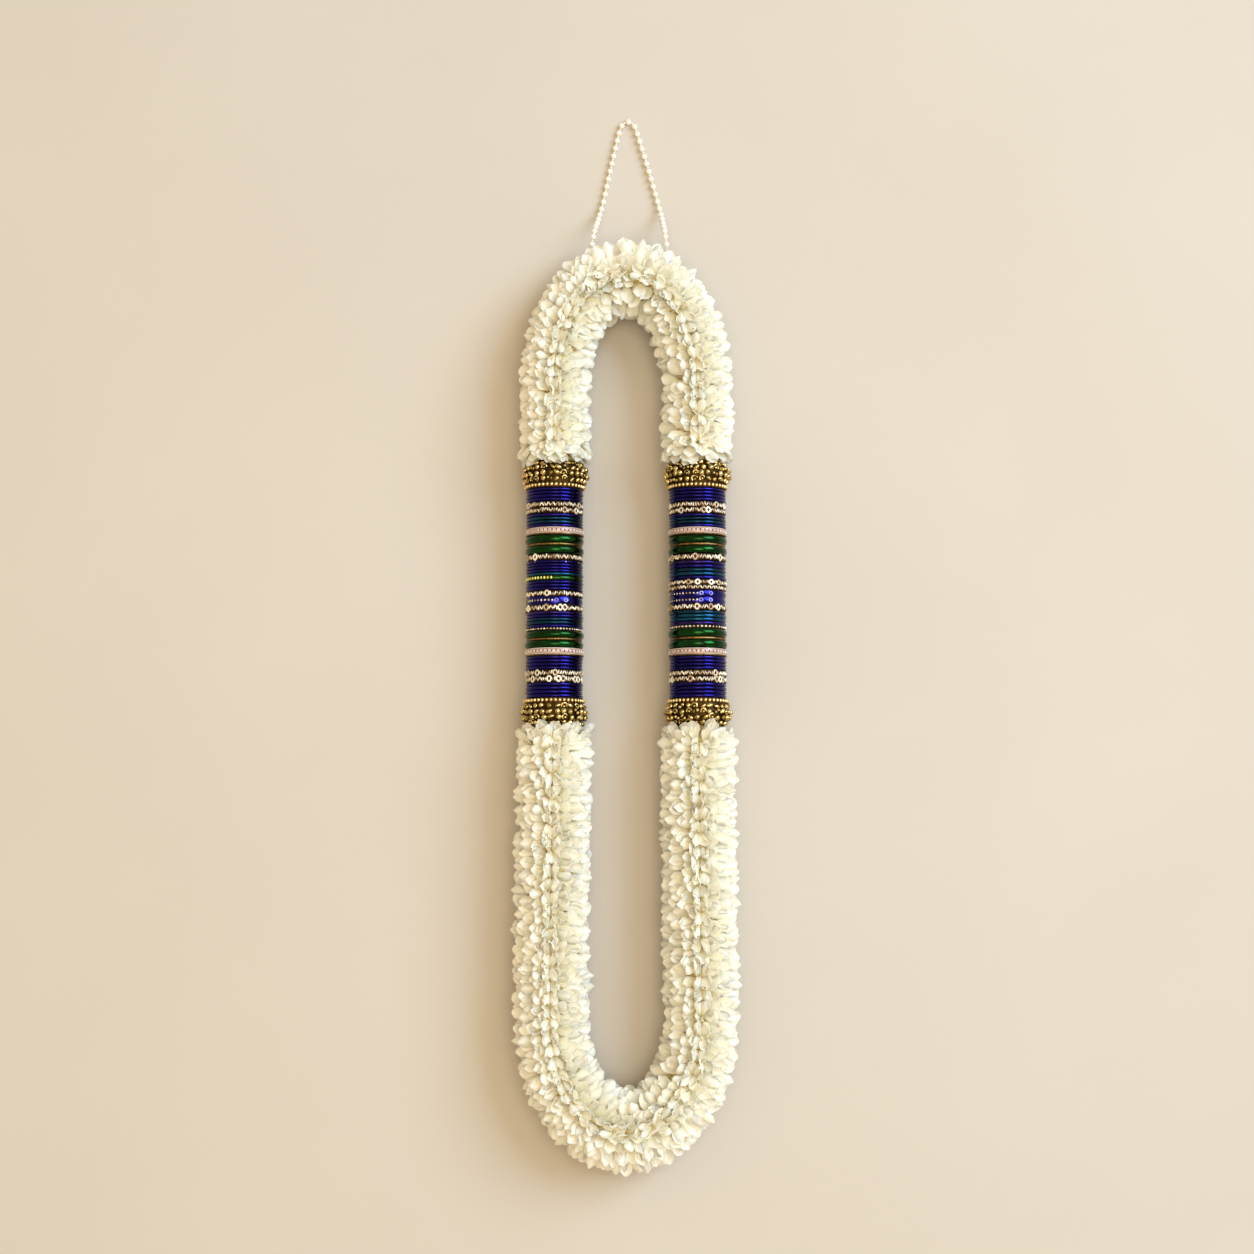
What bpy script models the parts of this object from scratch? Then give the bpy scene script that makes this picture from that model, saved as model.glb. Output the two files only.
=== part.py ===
"""A temple garland laid flat: white petals and two stacks of glass bangles on one closed rope.

The loop lies in the XY plane with its length along +Y, and rests on z = 0. Sizes are in metres.
Each flower length is a core with whorls of petals standing out of it, each petal a blade whose
width runs along the rope. A strand of pearls, tied to the rope inside the arch, lies above it.
"""

import math
import random

import bmesh
import bpy
import numpy as np
from mathutils import Vector

GAP = 0.0003

# The rope's loop: an arch at the top, a bend at the bottom and two sides between them.
AXIS_Z = 0.038
ARCH_HALF_WIDTH = 0.0745
ARCH_RISE = 0.116
ARCH_CENTRE_Y = 0.3261
BEND_HALF_WIDTH = 0.0765
BEND_DROP = 0.113
BEND_CENTRE_Y = -0.3286
STACK_CENTRE_Y = 0.1063
STACK_HALF_LENGTH = 0.1092
FLOWER_END = 0.1385
LEG_POINTS = 121
BEND_POINTS = 361

# The inner pieces.
ROPE_RADIUS = 0.006
ROPE_SIDES = 6
FORMER_RADIUS = 0.0262
FORMER_SIDES = 8

# The petals: the radius of their tips, and of the core that they stand out of.
ARCH_RADIUS = 0.0388
CROWN_RADIUS = 0.0443
LEG_RADIUS = 0.0404
BEND_RADIUS = 0.0468
CORE_RADIUS = 0.0245
END_CORE_RADIUS = 0.0293
PETALS_ROUND = 12
RIDGE_SHARE = 0.66
RIDGE_DROP = 0.07
RIDGE_BOW = 0.06
CORE_JITTER = 0.03
LENGTH_JITTER = 0.05
TURN_JITTER = 0.10
PLACE_JITTER = 0.06
END_SPLAY = 0.009
PRESSED_HALF_WIDTH = 0.0035

# How many whorls each flower length has, and into how many pieces each half of a bend is cut.
ARCH_LEG_WHORLS = 5
LOWER_LEG_WHORLS = 18
CURVE_WHORLS = 5
CURVE_BORE_STEPS = 3

# The bangles.
BANGLE_RADIUS = 0.0300
BANGLE_VALLEY = 0.0286
RING_SIDES = 12
GREEN_EDGE = 0.0289

# The caps: a beaded rim at the bangles, then studs up to the flowers. Each row of the profile
# is a distance from the bangles and a radius.
CAP_SIDES = 24
RIM_FOOT_RADIUS = 0.0287
RIM_BEAD_RADIUS = 0.0314
RIM_NECK_RADIUS = 0.0298
RIM_LENGTH = 0.0042
CAP_PROFILE = (
    (0.0078, 0.0338),
    (0.0114, 0.0362),
    (0.0152, 0.0362),
    (0.0190, 0.0348),
    (0.0226, 0.0312),
)
STUD_DEPTH = 0.0022
CAP_TOP_RADIUS = 0.0284

# The pearl strand.
PEARL_RADIUS = 0.0031
PEARL_PITCH = 0.0100
PEARL_FLAT = 0.0017
PEARL_SIDES = 5
THREAD_RADIUS = 0.0008
THREAD_HOLE_RADIUS = 0.00125

# Each bangle set, from the top of the stack down: its kind, how many bangles it holds and its
# length along the stack.
LEFT_SETS = (
    ("blue", 4, 0.0148),
    ("glitter", 2, 0.0124),
    ("teal", 4, 0.0146),
    ("band", 1, 0.0075),
    ("green", 2, 0.0200),
    ("glitter", 1, 0.0069),
    ("blue", 5, 0.0161),
    ("lime", 1, 0.0047),
    ("blue", 3, 0.0107),
    ("glitter", 1, 0.0061),
    ("faceted", 1, 0.0083),
    ("glitter", 1, 0.0068),
    ("teal", 5, 0.0173),
    ("beaded", 1, 0.0025),
    ("green", 2, 0.0183),
    ("band", 1, 0.0078),
    ("blue", 4, 0.0148),
    ("glitter", 2, 0.0127),
    ("blue", 4, 0.0161),
)
RIGHT_SETS = (
    ("blue", 4, 0.0148),
    ("glitter", 2, 0.0124),
    ("teal", 4, 0.0146),
    ("band", 1, 0.0075),
    ("green", 2, 0.0200),
    ("glitter", 1, 0.0069),
    ("teal", 5, 0.0201),
    ("glitter", 2, 0.0108),
    ("faceted", 2, 0.0142),
    ("glitter", 1, 0.0066),
    ("teal", 4, 0.0155),
    ("beaded", 1, 0.0030),
    ("green", 2, 0.0207),
    ("band", 1, 0.0077),
    ("blue", 4, 0.0148),
    ("glitter", 2, 0.0127),
    ("blue", 4, 0.0161),
)

# The strand's route from the rope inside the arch, out, down on to the surface and round. It
# leaves the petals at its first exit and goes back in at its last, both numbers of points here.
STRAND_ROUTE = (
    (-0.0440, 0.4305, AXIS_Z),
    (-0.0397, 0.4573, AXIS_Z),
    (-0.0354, 0.4840, AXIS_Z),
    (-0.0332, 0.4970, 0.0316),
    (-0.0305, 0.5100, 0.0180),
    (-0.0278, 0.5225, 0.0076),
    (-0.0246, 0.5360, 0.0036),
    (-0.0186, 0.5640, 0.0034),
    (-0.0126, 0.5910, 0.0034),
    (-0.0072, 0.6140, 0.0034),
    (-0.0035, 0.6215, 0.0034),
    (0.0020, 0.6245, 0.0034),
    (0.0075, 0.6215, 0.0034),
    (0.0112, 0.6140, 0.0034),
    (0.0183, 0.5900, 0.0034),
    (0.0260, 0.5640, 0.0034),
    (0.0336, 0.5360, 0.0036),
    (0.0368, 0.5225, 0.0076),
    (0.0390, 0.5100, 0.0180),
    (0.0407, 0.4970, 0.0316),
    (0.0420, 0.4840, AXIS_Z),
    (0.0460, 0.4538, AXIS_Z),
    (0.0500, 0.4235, AXIS_Z),
)
FIRST_EXIT = 2
LAST_EXIT = 20
ROUTE_STEPS = 12

COLOURS = {
    "petal": ((0.90, 0.88, 0.76), 0.60, 0.0),
    "rope": ((0.72, 0.66, 0.52), 0.85, 0.0),
    "former": ((0.60, 0.52, 0.40), 0.85, 0.0),
    "gold": ((0.55, 0.38, 0.13), 0.30, 1.0),
    "pearl": ((0.92, 0.90, 0.84), 0.20, 0.0),
    "blue": ((0.03, 0.02, 0.35), 0.10, 0.0),
    "teal": ((0.01, 0.12, 0.30), 0.10, 0.0),
    "green": ((0.01, 0.20, 0.05), 0.10, 0.0),
    "lime": ((0.40, 0.45, 0.05), 0.30, 0.0),
    "faceted": ((0.05, 0.03, 0.30), 0.20, 0.0),
    "glitter": ((0.85, 0.72, 0.50), 0.25, 0.6),
    "band": ((0.85, 0.68, 0.66), 0.25, 0.6),
    "beaded": ((0.80, 0.65, 0.35), 0.30, 0.8),
}


def clear_scene():
    for obj in list(bpy.data.objects):
        bpy.data.objects.remove(obj)


def material(name):
    found = bpy.data.materials.get(name)
    if found:
        return found
    colour, roughness, metallic = COLOURS[name]
    made = bpy.data.materials.new(name)
    made.use_nodes = True
    shader = made.node_tree.nodes["Principled BSDF"]
    shader.inputs["Base Color"].default_value = (*colour, 1.0)
    shader.inputs["Roughness"].default_value = roughness
    shader.inputs["Metallic"].default_value = metallic
    return made


def add_object(name, bm, finish):
    """Makes the object of a closed mesh, with its faces turned outwards."""
    bmesh.ops.recalc_face_normals(bm, faces=bm.faces)
    mesh = bpy.data.meshes.new(name)
    bm.to_mesh(mesh)
    bm.free()
    mesh.materials.append(material(finish))
    obj = bpy.data.objects.new(name, mesh)
    bpy.context.scene.collection.objects.link(obj)
    return obj


class Route:
    """A line through the rope's middle, read by its length from the start."""

    def __init__(self, points, outward):
        self.points = np.array(points)
        steps = np.linalg.norm(np.diff(self.points, axis=0), axis=1)
        self.lengths = np.concatenate([[0.0], np.cumsum(steps)])
        self.length = float(self.lengths[-1])
        self.outward = outward

    def on_line(self, s):
        return Vector([np.interp(s, self.lengths, self.points[:, k]) for k in range(2)])

    def frame(self, s):
        """The middle of the rope at s and the direction out of the loop there. Past an end
        the line runs on straight."""
        inside = min(max(s, 0.0), self.length)
        step = 0.0005
        ahead = self.on_line(min(inside + step, self.length))
        behind = self.on_line(max(inside - step, 0.0))
        along = (ahead - behind).normalized()
        middle = self.on_line(inside) + along * (s - inside)
        out = Vector((-along.y, along.x)) * self.outward
        return Vector((middle.x, middle.y, AXIS_Z)), Vector((out.x, out.y, 0.0))

    def point(self, s, angle, radius):
        middle, out = self.frame(s)
        return middle + out * (radius * math.cos(angle)) + Vector((0, 0, radius * math.sin(angle)))


def arch_route():
    """From the left flower end up, over the crown and down to the right flower end."""
    foot = STACK_CENTRE_Y + FLOWER_END
    points = [(-ARCH_HALF_WIDTH, foot)]
    for step in range(BEND_POINTS):
        turn = math.pi * (1 - step / (BEND_POINTS - 1))
        y = ARCH_CENTRE_Y + ARCH_RISE * math.sin(turn)
        points.append((ARCH_HALF_WIDTH * math.cos(turn), y))
    points.append((ARCH_HALF_WIDTH, foot))
    return Route(points, 1)


def lower_side_x(y):
    """The lower legs bow out a little from the stacks' width to the bend's."""
    top = STACK_CENTRE_Y - FLOWER_END
    share = (top - y) / (top - BEND_CENTRE_Y)
    ease = share * share * (3 - 2 * share)
    return ARCH_HALF_WIDTH + (BEND_HALF_WIDTH - ARCH_HALF_WIDTH) * ease


def lower_route():
    """From the left flower end down, round the bend and up to the right flower end."""
    top = STACK_CENTRE_Y - FLOWER_END
    leg = [(lower_side_x(y), y) for y in np.linspace(top, BEND_CENTRE_Y, LEG_POINTS)]
    points = [(-x, y) for x, y in leg[:-1]]
    for step in range(BEND_POINTS):
        turn = math.pi * (1 + step / (BEND_POINTS - 1))
        y = BEND_CENTRE_Y + BEND_DROP * math.sin(turn)
        points.append((BEND_HALF_WIDTH * math.cos(turn), y))
    points += [(x, y) for x, y in reversed(leg[:-1])]
    return Route(points, -1)


def stitch(bm, first, second):
    """Joins two rings, each a list of (angle, vertex) in order, with a band of triangles."""
    full = 2 * math.pi
    i = j = 0
    while i < len(first) or j < len(second):
        a = first[i % len(first)][1]
        b = second[j % len(second)][1]
        next_a = first[(i + 1) % len(first)][0] + full * ((i + 1) // len(first))
        next_b = second[(j + 1) % len(second)][0] + full * ((j + 1) // len(second))
        if j == len(second) or (i < len(first) and next_a <= next_b):
            bm.faces.new((a, first[(i + 1) % len(first)][1], b))
            i += 1
        else:
            bm.faces.new((a, second[(j + 1) % len(second)][1], b))
            j += 1


def sorted_ring(ring):
    return sorted((angle % (2 * math.pi), vert) for angle, vert in ring)


def bore_rings(bm, route, stations, sides):
    """The rope's hole, as rings of vertices round it."""
    radius = ROPE_RADIUS + GAP / math.cos(math.pi / sides)
    rings = []
    for s in stations:
        angles = [2 * math.pi * k / sides for k in range(sides)]
        rings.append([(a, bm.verts.new(route.point(s, a, radius))) for a in angles])
    return rings


def even_steps(first, last, count):
    return [first + (last - first) * k / count for k in range(count + 1)]


def tip_radius(route, s, angle, straight, bent):
    """The petals are a little longer where the loop bends, in the loop's own plane."""
    middle, _ = route.frame(s)
    bend = max(0.0, 1 - (middle.x / ARCH_HALF_WIDTH) ** 2)
    return straight + (bent - straight) * bend * abs(math.cos(angle))


def flower(name, route, span, whorls, bore_steps, reach, splay, seed):
    """One length of flowers over a span of the route. reach holds the petals' radius on a
    straight and at the middle of a bend, and splay how far the whorl at each end leans out."""
    draw = random.Random(seed)
    first, last = span[0] + GAP / 2, span[1] - GAP / 2
    pitch = (last - first) / whorls
    step = 2 * math.pi / PETALS_ROUND
    bm = bmesh.new()

    rings = []
    for i in range(whorls + 1):
        at_cap = (i == 0 and splay[0]) or (i == whorls and splay[1])
        ring = []
        for j in range(PETALS_ROUND):
            angle = (j + 0.5 * (i % 2)) * step
            radius = CORE_RADIUS * (1 + draw.uniform(-CORE_JITTER, CORE_JITTER))
            if at_cap:
                radius = END_CORE_RADIUS
            ring.append((angle, bm.verts.new(route.point(first + i * pitch, angle, radius))))
        rings.append(ring)

    for i in range(whorls):
        lean = splay[0] if i == 0 else splay[1] if i == whorls - 1 else 0.0
        shift = i % 2
        for j in range(PETALS_ROUND):
            corners = [rings[i][(j + k) % PETALS_ROUND][1] for k in (0, 1)]
            corners += [rings[i + 1][(j + k + shift) % PETALS_ROUND][1] for k in (0, 1)]
            middle = first + (i + 0.5) * pitch
            angle = (j + 0.75 + 0.5 * shift) * step
            petal(bm, route, corners, middle, angle, pitch, lean, reach, draw)

    bores = bore_rings(bm, route, even_steps(first, last, bore_steps), ROPE_SIDES)
    for one, other in zip(bores, bores[1:]):
        stitch(bm, one, other)
    stitch(bm, bores[0], sorted_ring(rings[0]))
    stitch(bm, bores[-1], sorted_ring(rings[-1]))
    return add_object(name, bm, "petal")


def petal(bm, route, corners, middle, angle, pitch, lean, reach, draw):
    """A blade on four corners of the core, its ridge of three points bowed to one side. A
    petal that the surface presses has a flat end on it instead."""
    jitter = LENGTH_JITTER * (0.3 if lean else 1.0)
    drop = RIDGE_DROP * (0.2 if lean else 1.0)
    radius = tip_radius(route, middle, angle, *reach) * (1 + draw.uniform(-jitter, jitter))
    angle += draw.uniform(-TURN_JITTER, TURN_JITTER) * 2 * math.pi / PETALS_ROUND
    bow = draw.choice((-RIDGE_BOW, RIDGE_BOW))
    half = pitch * RIDGE_SHARE / 2
    middle += draw.uniform(-PLACE_JITTER, PLACE_JITTER) * pitch + lean
    if AXIS_Z + radius * math.sin(angle) < -0.0008:
        pressed_petal(bm, route, corners, middle, angle, half)
        return
    ridge = []
    for t in (-1, 0, 1):
        turn = angle + bow * (1 - abs(t))
        tip = route.point(middle + t * half, turn, radius * (1 - drop * abs(t)))
        tip.z = max(tip.z, 0.0)
        ridge.append(bm.verts.new(tip))
    near, near_after, far, far_after = corners
    bm.faces.new((near, ridge[0], near_after))
    bm.faces.new((far, far_after, ridge[2]))
    blade_side(bm, near, far, ridge)
    blade_side(bm, near_after, far_after, ridge)


def blade_side(bm, near, far, ridge):
    """One side of a blade, from an edge of the core up to the ridge."""
    bm.faces.new((near, ridge[1], ridge[0]))
    bm.faces.new((near, far, ridge[1]))
    bm.faces.new((far, ridge[2], ridge[1]))


def pressed_petal(bm, route, corners, middle, angle, half):
    """The same blade with a flat rectangle on the surface for its tip."""
    across = -AXIS_Z / math.tan(angle)
    tops = []
    for t in (-half, half):
        spot, out = route.frame(middle + t)
        for side in (-PRESSED_HALF_WIDTH, PRESSED_HALF_WIDTH):
            place = spot + out * (across + side)
            tops.append(bm.verts.new((place.x, place.y, 0.0)))
    near, near_after, far, far_after = corners
    a, b, c, d = tops
    for face in (
        (a, b, d),
        (a, d, c),
        (near, a, c),
        (near, c, far),
        (near_after, far_after, d),
        (near_after, d, b),
        (near, near_after, b),
        (near, b, a),
        (far, c, d),
        (far, d, far_after),
    ):
        bm.faces.new(face)


def flower_lengths(route, label, leg, leg_whorls, reach):
    """The flowers of one route: two legs, and each half of the bend in two pieces."""
    quarter = (route.length - 2 * leg) / 4
    cuts = [0.0, leg] + [leg + quarter * k for k in (1, 2, 3)] + [route.length - leg, route.length]
    names = ("left_leg", "left_side", "left_end", "right_end", "right_side", "right_leg")
    seed = sum(map(ord, label))
    for i, name in enumerate(names):
        is_leg = name.endswith("leg")
        splay = (-END_SPLAY if i == 0 else 0.0, END_SPLAY if i == 5 else 0.0)
        flower(
            f"{label}_{name}",
            route,
            (cuts[i], cuts[i + 1]),
            leg_whorls if is_leg else CURVE_WHORLS,
            1 if is_leg else CURVE_BORE_STEPS,
            reach,
            splay,
            seed + i,
        )
    return cuts


def rope_stations(route, cuts):
    stations = [cuts[0]]
    for i, (start, end) in enumerate(zip(cuts, cuts[1:])):
        steps = 1 if i in (0, 5) else CURVE_BORE_STEPS
        stations += even_steps(start, end, steps)[1:]
    return stations


def core_rope(arch, arch_cuts, lower, lower_cuts):
    """One closed loop, with a ring of points at each place where its hole has one."""
    bm = bmesh.new()
    places = [(arch, s) for s in rope_stations(arch, arch_cuts)]
    places += [(lower, s) for s in reversed(rope_stations(lower, lower_cuts))]
    angles = [2 * math.pi * k / ROPE_SIDES for k in range(ROPE_SIDES)]
    rings = [
        [(a, bm.verts.new(route.point(s, a, ROPE_RADIUS))) for a in angles]
        for route, s in places
    ]
    for one, other in zip(rings, rings[1:] + rings[:1]):
        stitch(bm, one, other)
    add_object("core_rope", bm, "rope")


def turned_ring(bm, y, radii):
    """A ring of points about the local Z axis, at height y; radii holds each point's radius."""
    count = len(radii)
    ring = []
    for k, radius in enumerate(radii):
        angle = 2 * math.pi * k / count
        place = (radius * math.cos(angle), radius * math.sin(angle), y)
        ring.append((angle, bm.verts.new(place)))
    return ring


def stud_band(bm, first, second, first_row):
    """Joins two rings of a checker of high and low points so that each high one is a peak."""
    count = len(first)
    for k in range(count):
        after = (k + 1) % count
        a, b = first[k][1], first[after][1]
        c, d = second[after][1], second[k][1]
        if (first_row + k) % 2:
            bm.faces.new((a, b, c))
            bm.faces.new((a, c, d))
        else:
            bm.faces.new((a, b, d))
            bm.faces.new((b, c, d))


def sleeve(name, outer, bore_radius, bore_sides, finish, studded=()):
    """A body round the stack's axis. outer holds (height, radii) rows from end to end, and
    studded the numbers of the rows that start a band of studs."""
    bm = bmesh.new()
    rings = [turned_ring(bm, y, radii) for y, radii in outer]
    ends = (outer[0][0], outer[-1][0])
    bores = [turned_ring(bm, y, [bore_radius] * bore_sides) for y in ends]
    for row, (one, other) in enumerate(zip(rings, rings[1:])):
        if row in studded:
            stud_band(bm, one, other, row)
        else:
            stitch(bm, one, other)
    stitch(bm, bores[0], bores[1])
    stitch(bm, bores[0], rings[0])
    stitch(bm, bores[1], rings[-1])
    return add_object(name, bm, finish)


def lay_on_stack(obj, x, y, flipped=False):
    """Turns the sleeve's axis from Z to Y, or to -Y, and puts it on its stack."""
    obj.rotation_euler = (math.radians(90 if flipped else -90), 0, 0)
    obj.location = (x, y, AXIS_Z)


def sleeve_bore():
    return FORMER_RADIUS + GAP / math.cos(math.pi / FORMER_SIDES)


def bangle_rows(kind, count, length):
    """The outline of a bangle set as (height, radius) rows: a ridge for each bangle, from the
    one at this end to the one at the other."""
    if kind == "green":
        edge = length * 0.42
        return [
            (0.0, GREEN_EDGE),
            (edge / 2, BANGLE_RADIUS + 0.0004),
            (edge, GREEN_EDGE),
            (length - edge, GREEN_EDGE),
            (length - edge / 2, BANGLE_RADIUS + 0.0004),
            (length, GREEN_EDGE),
        ]
    if count == 1:
        return [(0.0, BANGLE_RADIUS), (length, BANGLE_RADIUS)]
    rows = []
    for k in range(2 * count - 1):
        radius = BANGLE_VALLEY if k % 2 else BANGLE_RADIUS
        rows.append((length * k / (2 * count - 2), radius))
    return rows


def bangle_stack(side, x, sets):
    """The stack's sets of bangles, each a body of its own, from the top down."""
    top = STACK_CENTRE_Y + STACK_HALF_LENGTH
    for number, (kind, count, length) in enumerate(sets, 1):
        body = length - GAP
        rows = [(y, [radius] * RING_SIDES) for y, radius in bangle_rows(kind, count, body)]
        name = f"{side}_bangles_{number:02d}_{kind}"
        obj = sleeve(name, rows, sleeve_bore(), FORMER_SIDES, kind)
        lay_on_stack(obj, x, top - GAP / 2 - body)
        top -= length


def stack_former(side, x):
    """The tube that the bangles and caps sit on, between the two flower ends."""
    length = 2 * FLOWER_END - GAP
    rows = [(0.0, [FORMER_RADIUS] * FORMER_SIDES), (length, [FORMER_RADIUS] * FORMER_SIDES)]
    bore = ROPE_RADIUS + GAP / math.cos(math.pi / ROPE_SIDES)
    obj = sleeve(f"{side}_former", rows, bore, ROPE_SIDES, "former")
    lay_on_stack(obj, x, STACK_CENTRE_Y - length / 2)


def cap_rows():
    """A beaded rim, then rows of studs in a checker, then the top that meets the flowers."""
    rim = [RIM_BEAD_RADIUS if k % 2 else RIM_NECK_RADIUS for k in range(2 * CAP_SIDES)]
    rows = [
        (0.0, [RIM_FOOT_RADIUS] * CAP_SIDES),
        (RIM_LENGTH / 2, rim),
        (RIM_LENGTH, [RIM_NECK_RADIUS] * CAP_SIDES),
    ]
    for y, radius in CAP_PROFILE:
        studs = [radius - STUD_DEPTH * ((len(rows) + k) % 2) for k in range(CAP_SIDES)]
        rows.append((y, studs))
    length = FLOWER_END - STACK_HALF_LENGTH - GAP
    rows.append((length, [CAP_TOP_RADIUS] * CAP_SIDES))
    return rows


def gold_cap(side, end, x):
    rows = cap_rows()
    studded = range(len(rows) - len(CAP_PROFILE) - 1, len(rows) - 2)
    obj = sleeve(f"{side}_{end}_cap", rows, sleeve_bore(), FORMER_SIDES, "gold", studded)
    reach = STACK_HALF_LENGTH + GAP / 2
    if end == "upper":
        lay_on_stack(obj, x, STACK_CENTRE_Y + reach)
    else:
        lay_on_stack(obj, x, STACK_CENTRE_Y - reach, flipped=True)


def smooth_route(points, steps):
    """A smooth line through the points: each of them is followed by steps - 1 new ones."""
    given = [Vector(p) for p in points]
    ends = [2 * given[0] - given[1]] + given + [2 * given[-1] - given[-2]]
    line = []
    for i in range(1, len(ends) - 2):
        a, b, c, d = ends[i - 1 : i + 3]
        for step in range(steps):
            t = step / steps
            pull = (c - a) * t + (2 * a - 5 * b + 4 * c - d) * t**2
            pull += (3 * b - a - 3 * c + d) * t**3
            line.append(b + pull / 2)
    line.append(given[-1])
    return line


def line_lengths(line):
    lengths = [0.0]
    for a, b in zip(line, line[1:]):
        lengths.append(lengths[-1] + (b - a).length)
    return lengths


def along_line(line, lengths, s):
    return Vector([np.interp(s, lengths, [p[k] for p in line]) for k in range(3)])


def pearl_strand():
    """A thread with pearls on it, from one exit of the arch to the other. Its bare ends run
    on through the petals to the rope."""
    line = smooth_route(STRAND_ROUTE, ROUTE_STEPS)
    lengths = line_lengths(line)
    start = lengths[FIRST_EXIT * ROUTE_STEPS]
    end = lengths[LAST_EXIT * ROUTE_STEPS]
    count = int((end - start) / PEARL_PITCH)
    first = (start + end - (count - 1) * PEARL_PITCH) / 2
    rows = [(0.0, THREAD_RADIUS), (start, THREAD_RADIUS)]
    for k in range(count):
        middle = first + k * PEARL_PITCH
        rows.append((middle - PEARL_FLAT, PEARL_RADIUS))
        rows.append((middle + PEARL_FLAT, PEARL_RADIUS))
        rows.append((middle + PEARL_PITCH / 2, THREAD_RADIUS))
    rows[-1] = (end, THREAD_RADIUS)
    rows.append((lengths[-1], THREAD_RADIUS))

    bm = bmesh.new()
    rings = []
    for s, radius in rows:
        place = along_line(line, lengths, s)
        ahead = along_line(line, lengths, min(s + 0.001, lengths[-1]))
        behind = along_line(line, lengths, max(s - 0.001, 0.0))
        along = (ahead - behind).normalized()
        across = along.cross(Vector((0, 0, 1))).normalized()
        above = across.cross(along)
        ring = []
        for k in range(PEARL_SIDES):
            angle = 2 * math.pi * k / PEARL_SIDES
            offset = across * math.cos(angle) + above * math.sin(angle)
            ring.append((angle, bm.verts.new(place + offset * radius)))
        rings.append(ring)
    for one, other in zip(rings, rings[1:]):
        stitch(bm, one, other)
    for ring in (rings[0], rings[-1]):
        bm.faces.new([vert for _, vert in ring])
    add_object("pearl_strand", bm, "pearl")


def thread_hole(flower_name, inner, outer):
    """Cuts a plain hole for the thread from the rope's hole out through the petals."""
    inner, outer = Vector(inner), Vector(outer)
    along = (outer - inner).normalized()
    start, end = inner - along * 0.005, outer + along * 0.020
    bm = bmesh.new()
    bmesh.ops.create_cone(
        bm,
        cap_ends=True,
        segments=8,
        radius1=THREAD_HOLE_RADIUS,
        radius2=THREAD_HOLE_RADIUS,
        depth=(end - start).length,
    )
    cutter = add_object(f"hole_{flower_name}", bm, "petal")
    cutter.rotation_euler = along.to_track_quat("Z", "Y").to_euler()
    cutter.location = (start + end) / 2
    cutter.hide_render = True
    cutter.display_type = "WIRE"
    cut = bpy.data.objects[flower_name].modifiers.new("thread hole", "BOOLEAN")
    cut.object = cutter
    cut.operation = "DIFFERENCE"


def garland():
    arch = arch_route()
    lower = lower_route()
    arch_leg = ARCH_CENTRE_Y - STACK_CENTRE_Y - FLOWER_END
    lower_leg = lower.lengths[LEG_POINTS - 1]
    arch_cuts = flower_lengths(
        arch, "arch", arch_leg, ARCH_LEG_WHORLS, (ARCH_RADIUS, CROWN_RADIUS)
    )
    lower_cuts = flower_lengths(
        lower, "bend", float(lower_leg), LOWER_LEG_WHORLS, (LEG_RADIUS, BEND_RADIUS)
    )
    core_rope(arch, arch_cuts, lower, lower_cuts)
    for side, x, sets in (
        ("left", -ARCH_HALF_WIDTH, LEFT_SETS),
        ("right", ARCH_HALF_WIDTH, RIGHT_SETS),
    ):
        stack_former(side, x)
        bangle_stack(side, x, sets)
        gold_cap(side, "upper", x)
        gold_cap(side, "lower", x)
    pearl_strand()
    thread_hole("arch_left_end", STRAND_ROUTE[0], STRAND_ROUTE[FIRST_EXIT])
    thread_hole("arch_right_end", STRAND_ROUTE[-1], STRAND_ROUTE[LAST_EXIT])


clear_scene()
garland()
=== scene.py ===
"""The looks of the temple garland: petals, bangles, caps, pearls, the light and the camera.

Everything is in metres in the part's own frame: the loop lies on z = 0 with its length along +Y,
and the camera looks down on it. Each length of flowers is rebuilt as columns of thin petals.
"""

import math
import random

import bmesh
import bpy
import numpy as np
from mathutils import Matrix, Vector


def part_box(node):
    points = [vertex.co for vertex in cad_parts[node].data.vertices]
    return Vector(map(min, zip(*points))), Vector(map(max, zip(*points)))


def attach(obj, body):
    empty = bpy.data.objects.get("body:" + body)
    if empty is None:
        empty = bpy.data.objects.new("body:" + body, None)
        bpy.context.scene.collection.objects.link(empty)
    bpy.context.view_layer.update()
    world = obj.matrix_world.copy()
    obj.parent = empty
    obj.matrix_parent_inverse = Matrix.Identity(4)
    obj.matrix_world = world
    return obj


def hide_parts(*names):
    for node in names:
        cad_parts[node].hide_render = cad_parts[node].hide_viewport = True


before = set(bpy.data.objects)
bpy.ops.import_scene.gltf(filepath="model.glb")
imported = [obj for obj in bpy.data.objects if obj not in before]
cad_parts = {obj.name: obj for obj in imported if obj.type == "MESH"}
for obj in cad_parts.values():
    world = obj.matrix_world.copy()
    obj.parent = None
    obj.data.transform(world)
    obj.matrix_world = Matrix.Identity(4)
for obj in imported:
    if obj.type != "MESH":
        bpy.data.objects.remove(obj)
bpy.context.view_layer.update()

# The rope's loop, as in the part: an arch, a bend and two sides between them.
AXIS_Z = 0.038
ARCH_HALF_WIDTH = 0.0745
ARCH_RISE = 0.116
ARCH_CENTRE_Y = 0.3261
BEND_HALF_WIDTH = 0.0765
BEND_DROP = 0.113
BEND_CENTRE_Y = -0.3286
STACK_CENTRE_Y = 0.1063
FLOWER_END = 0.1385
ROUTE_POINTS = 241
FRAME_STEP = 0.001

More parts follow.
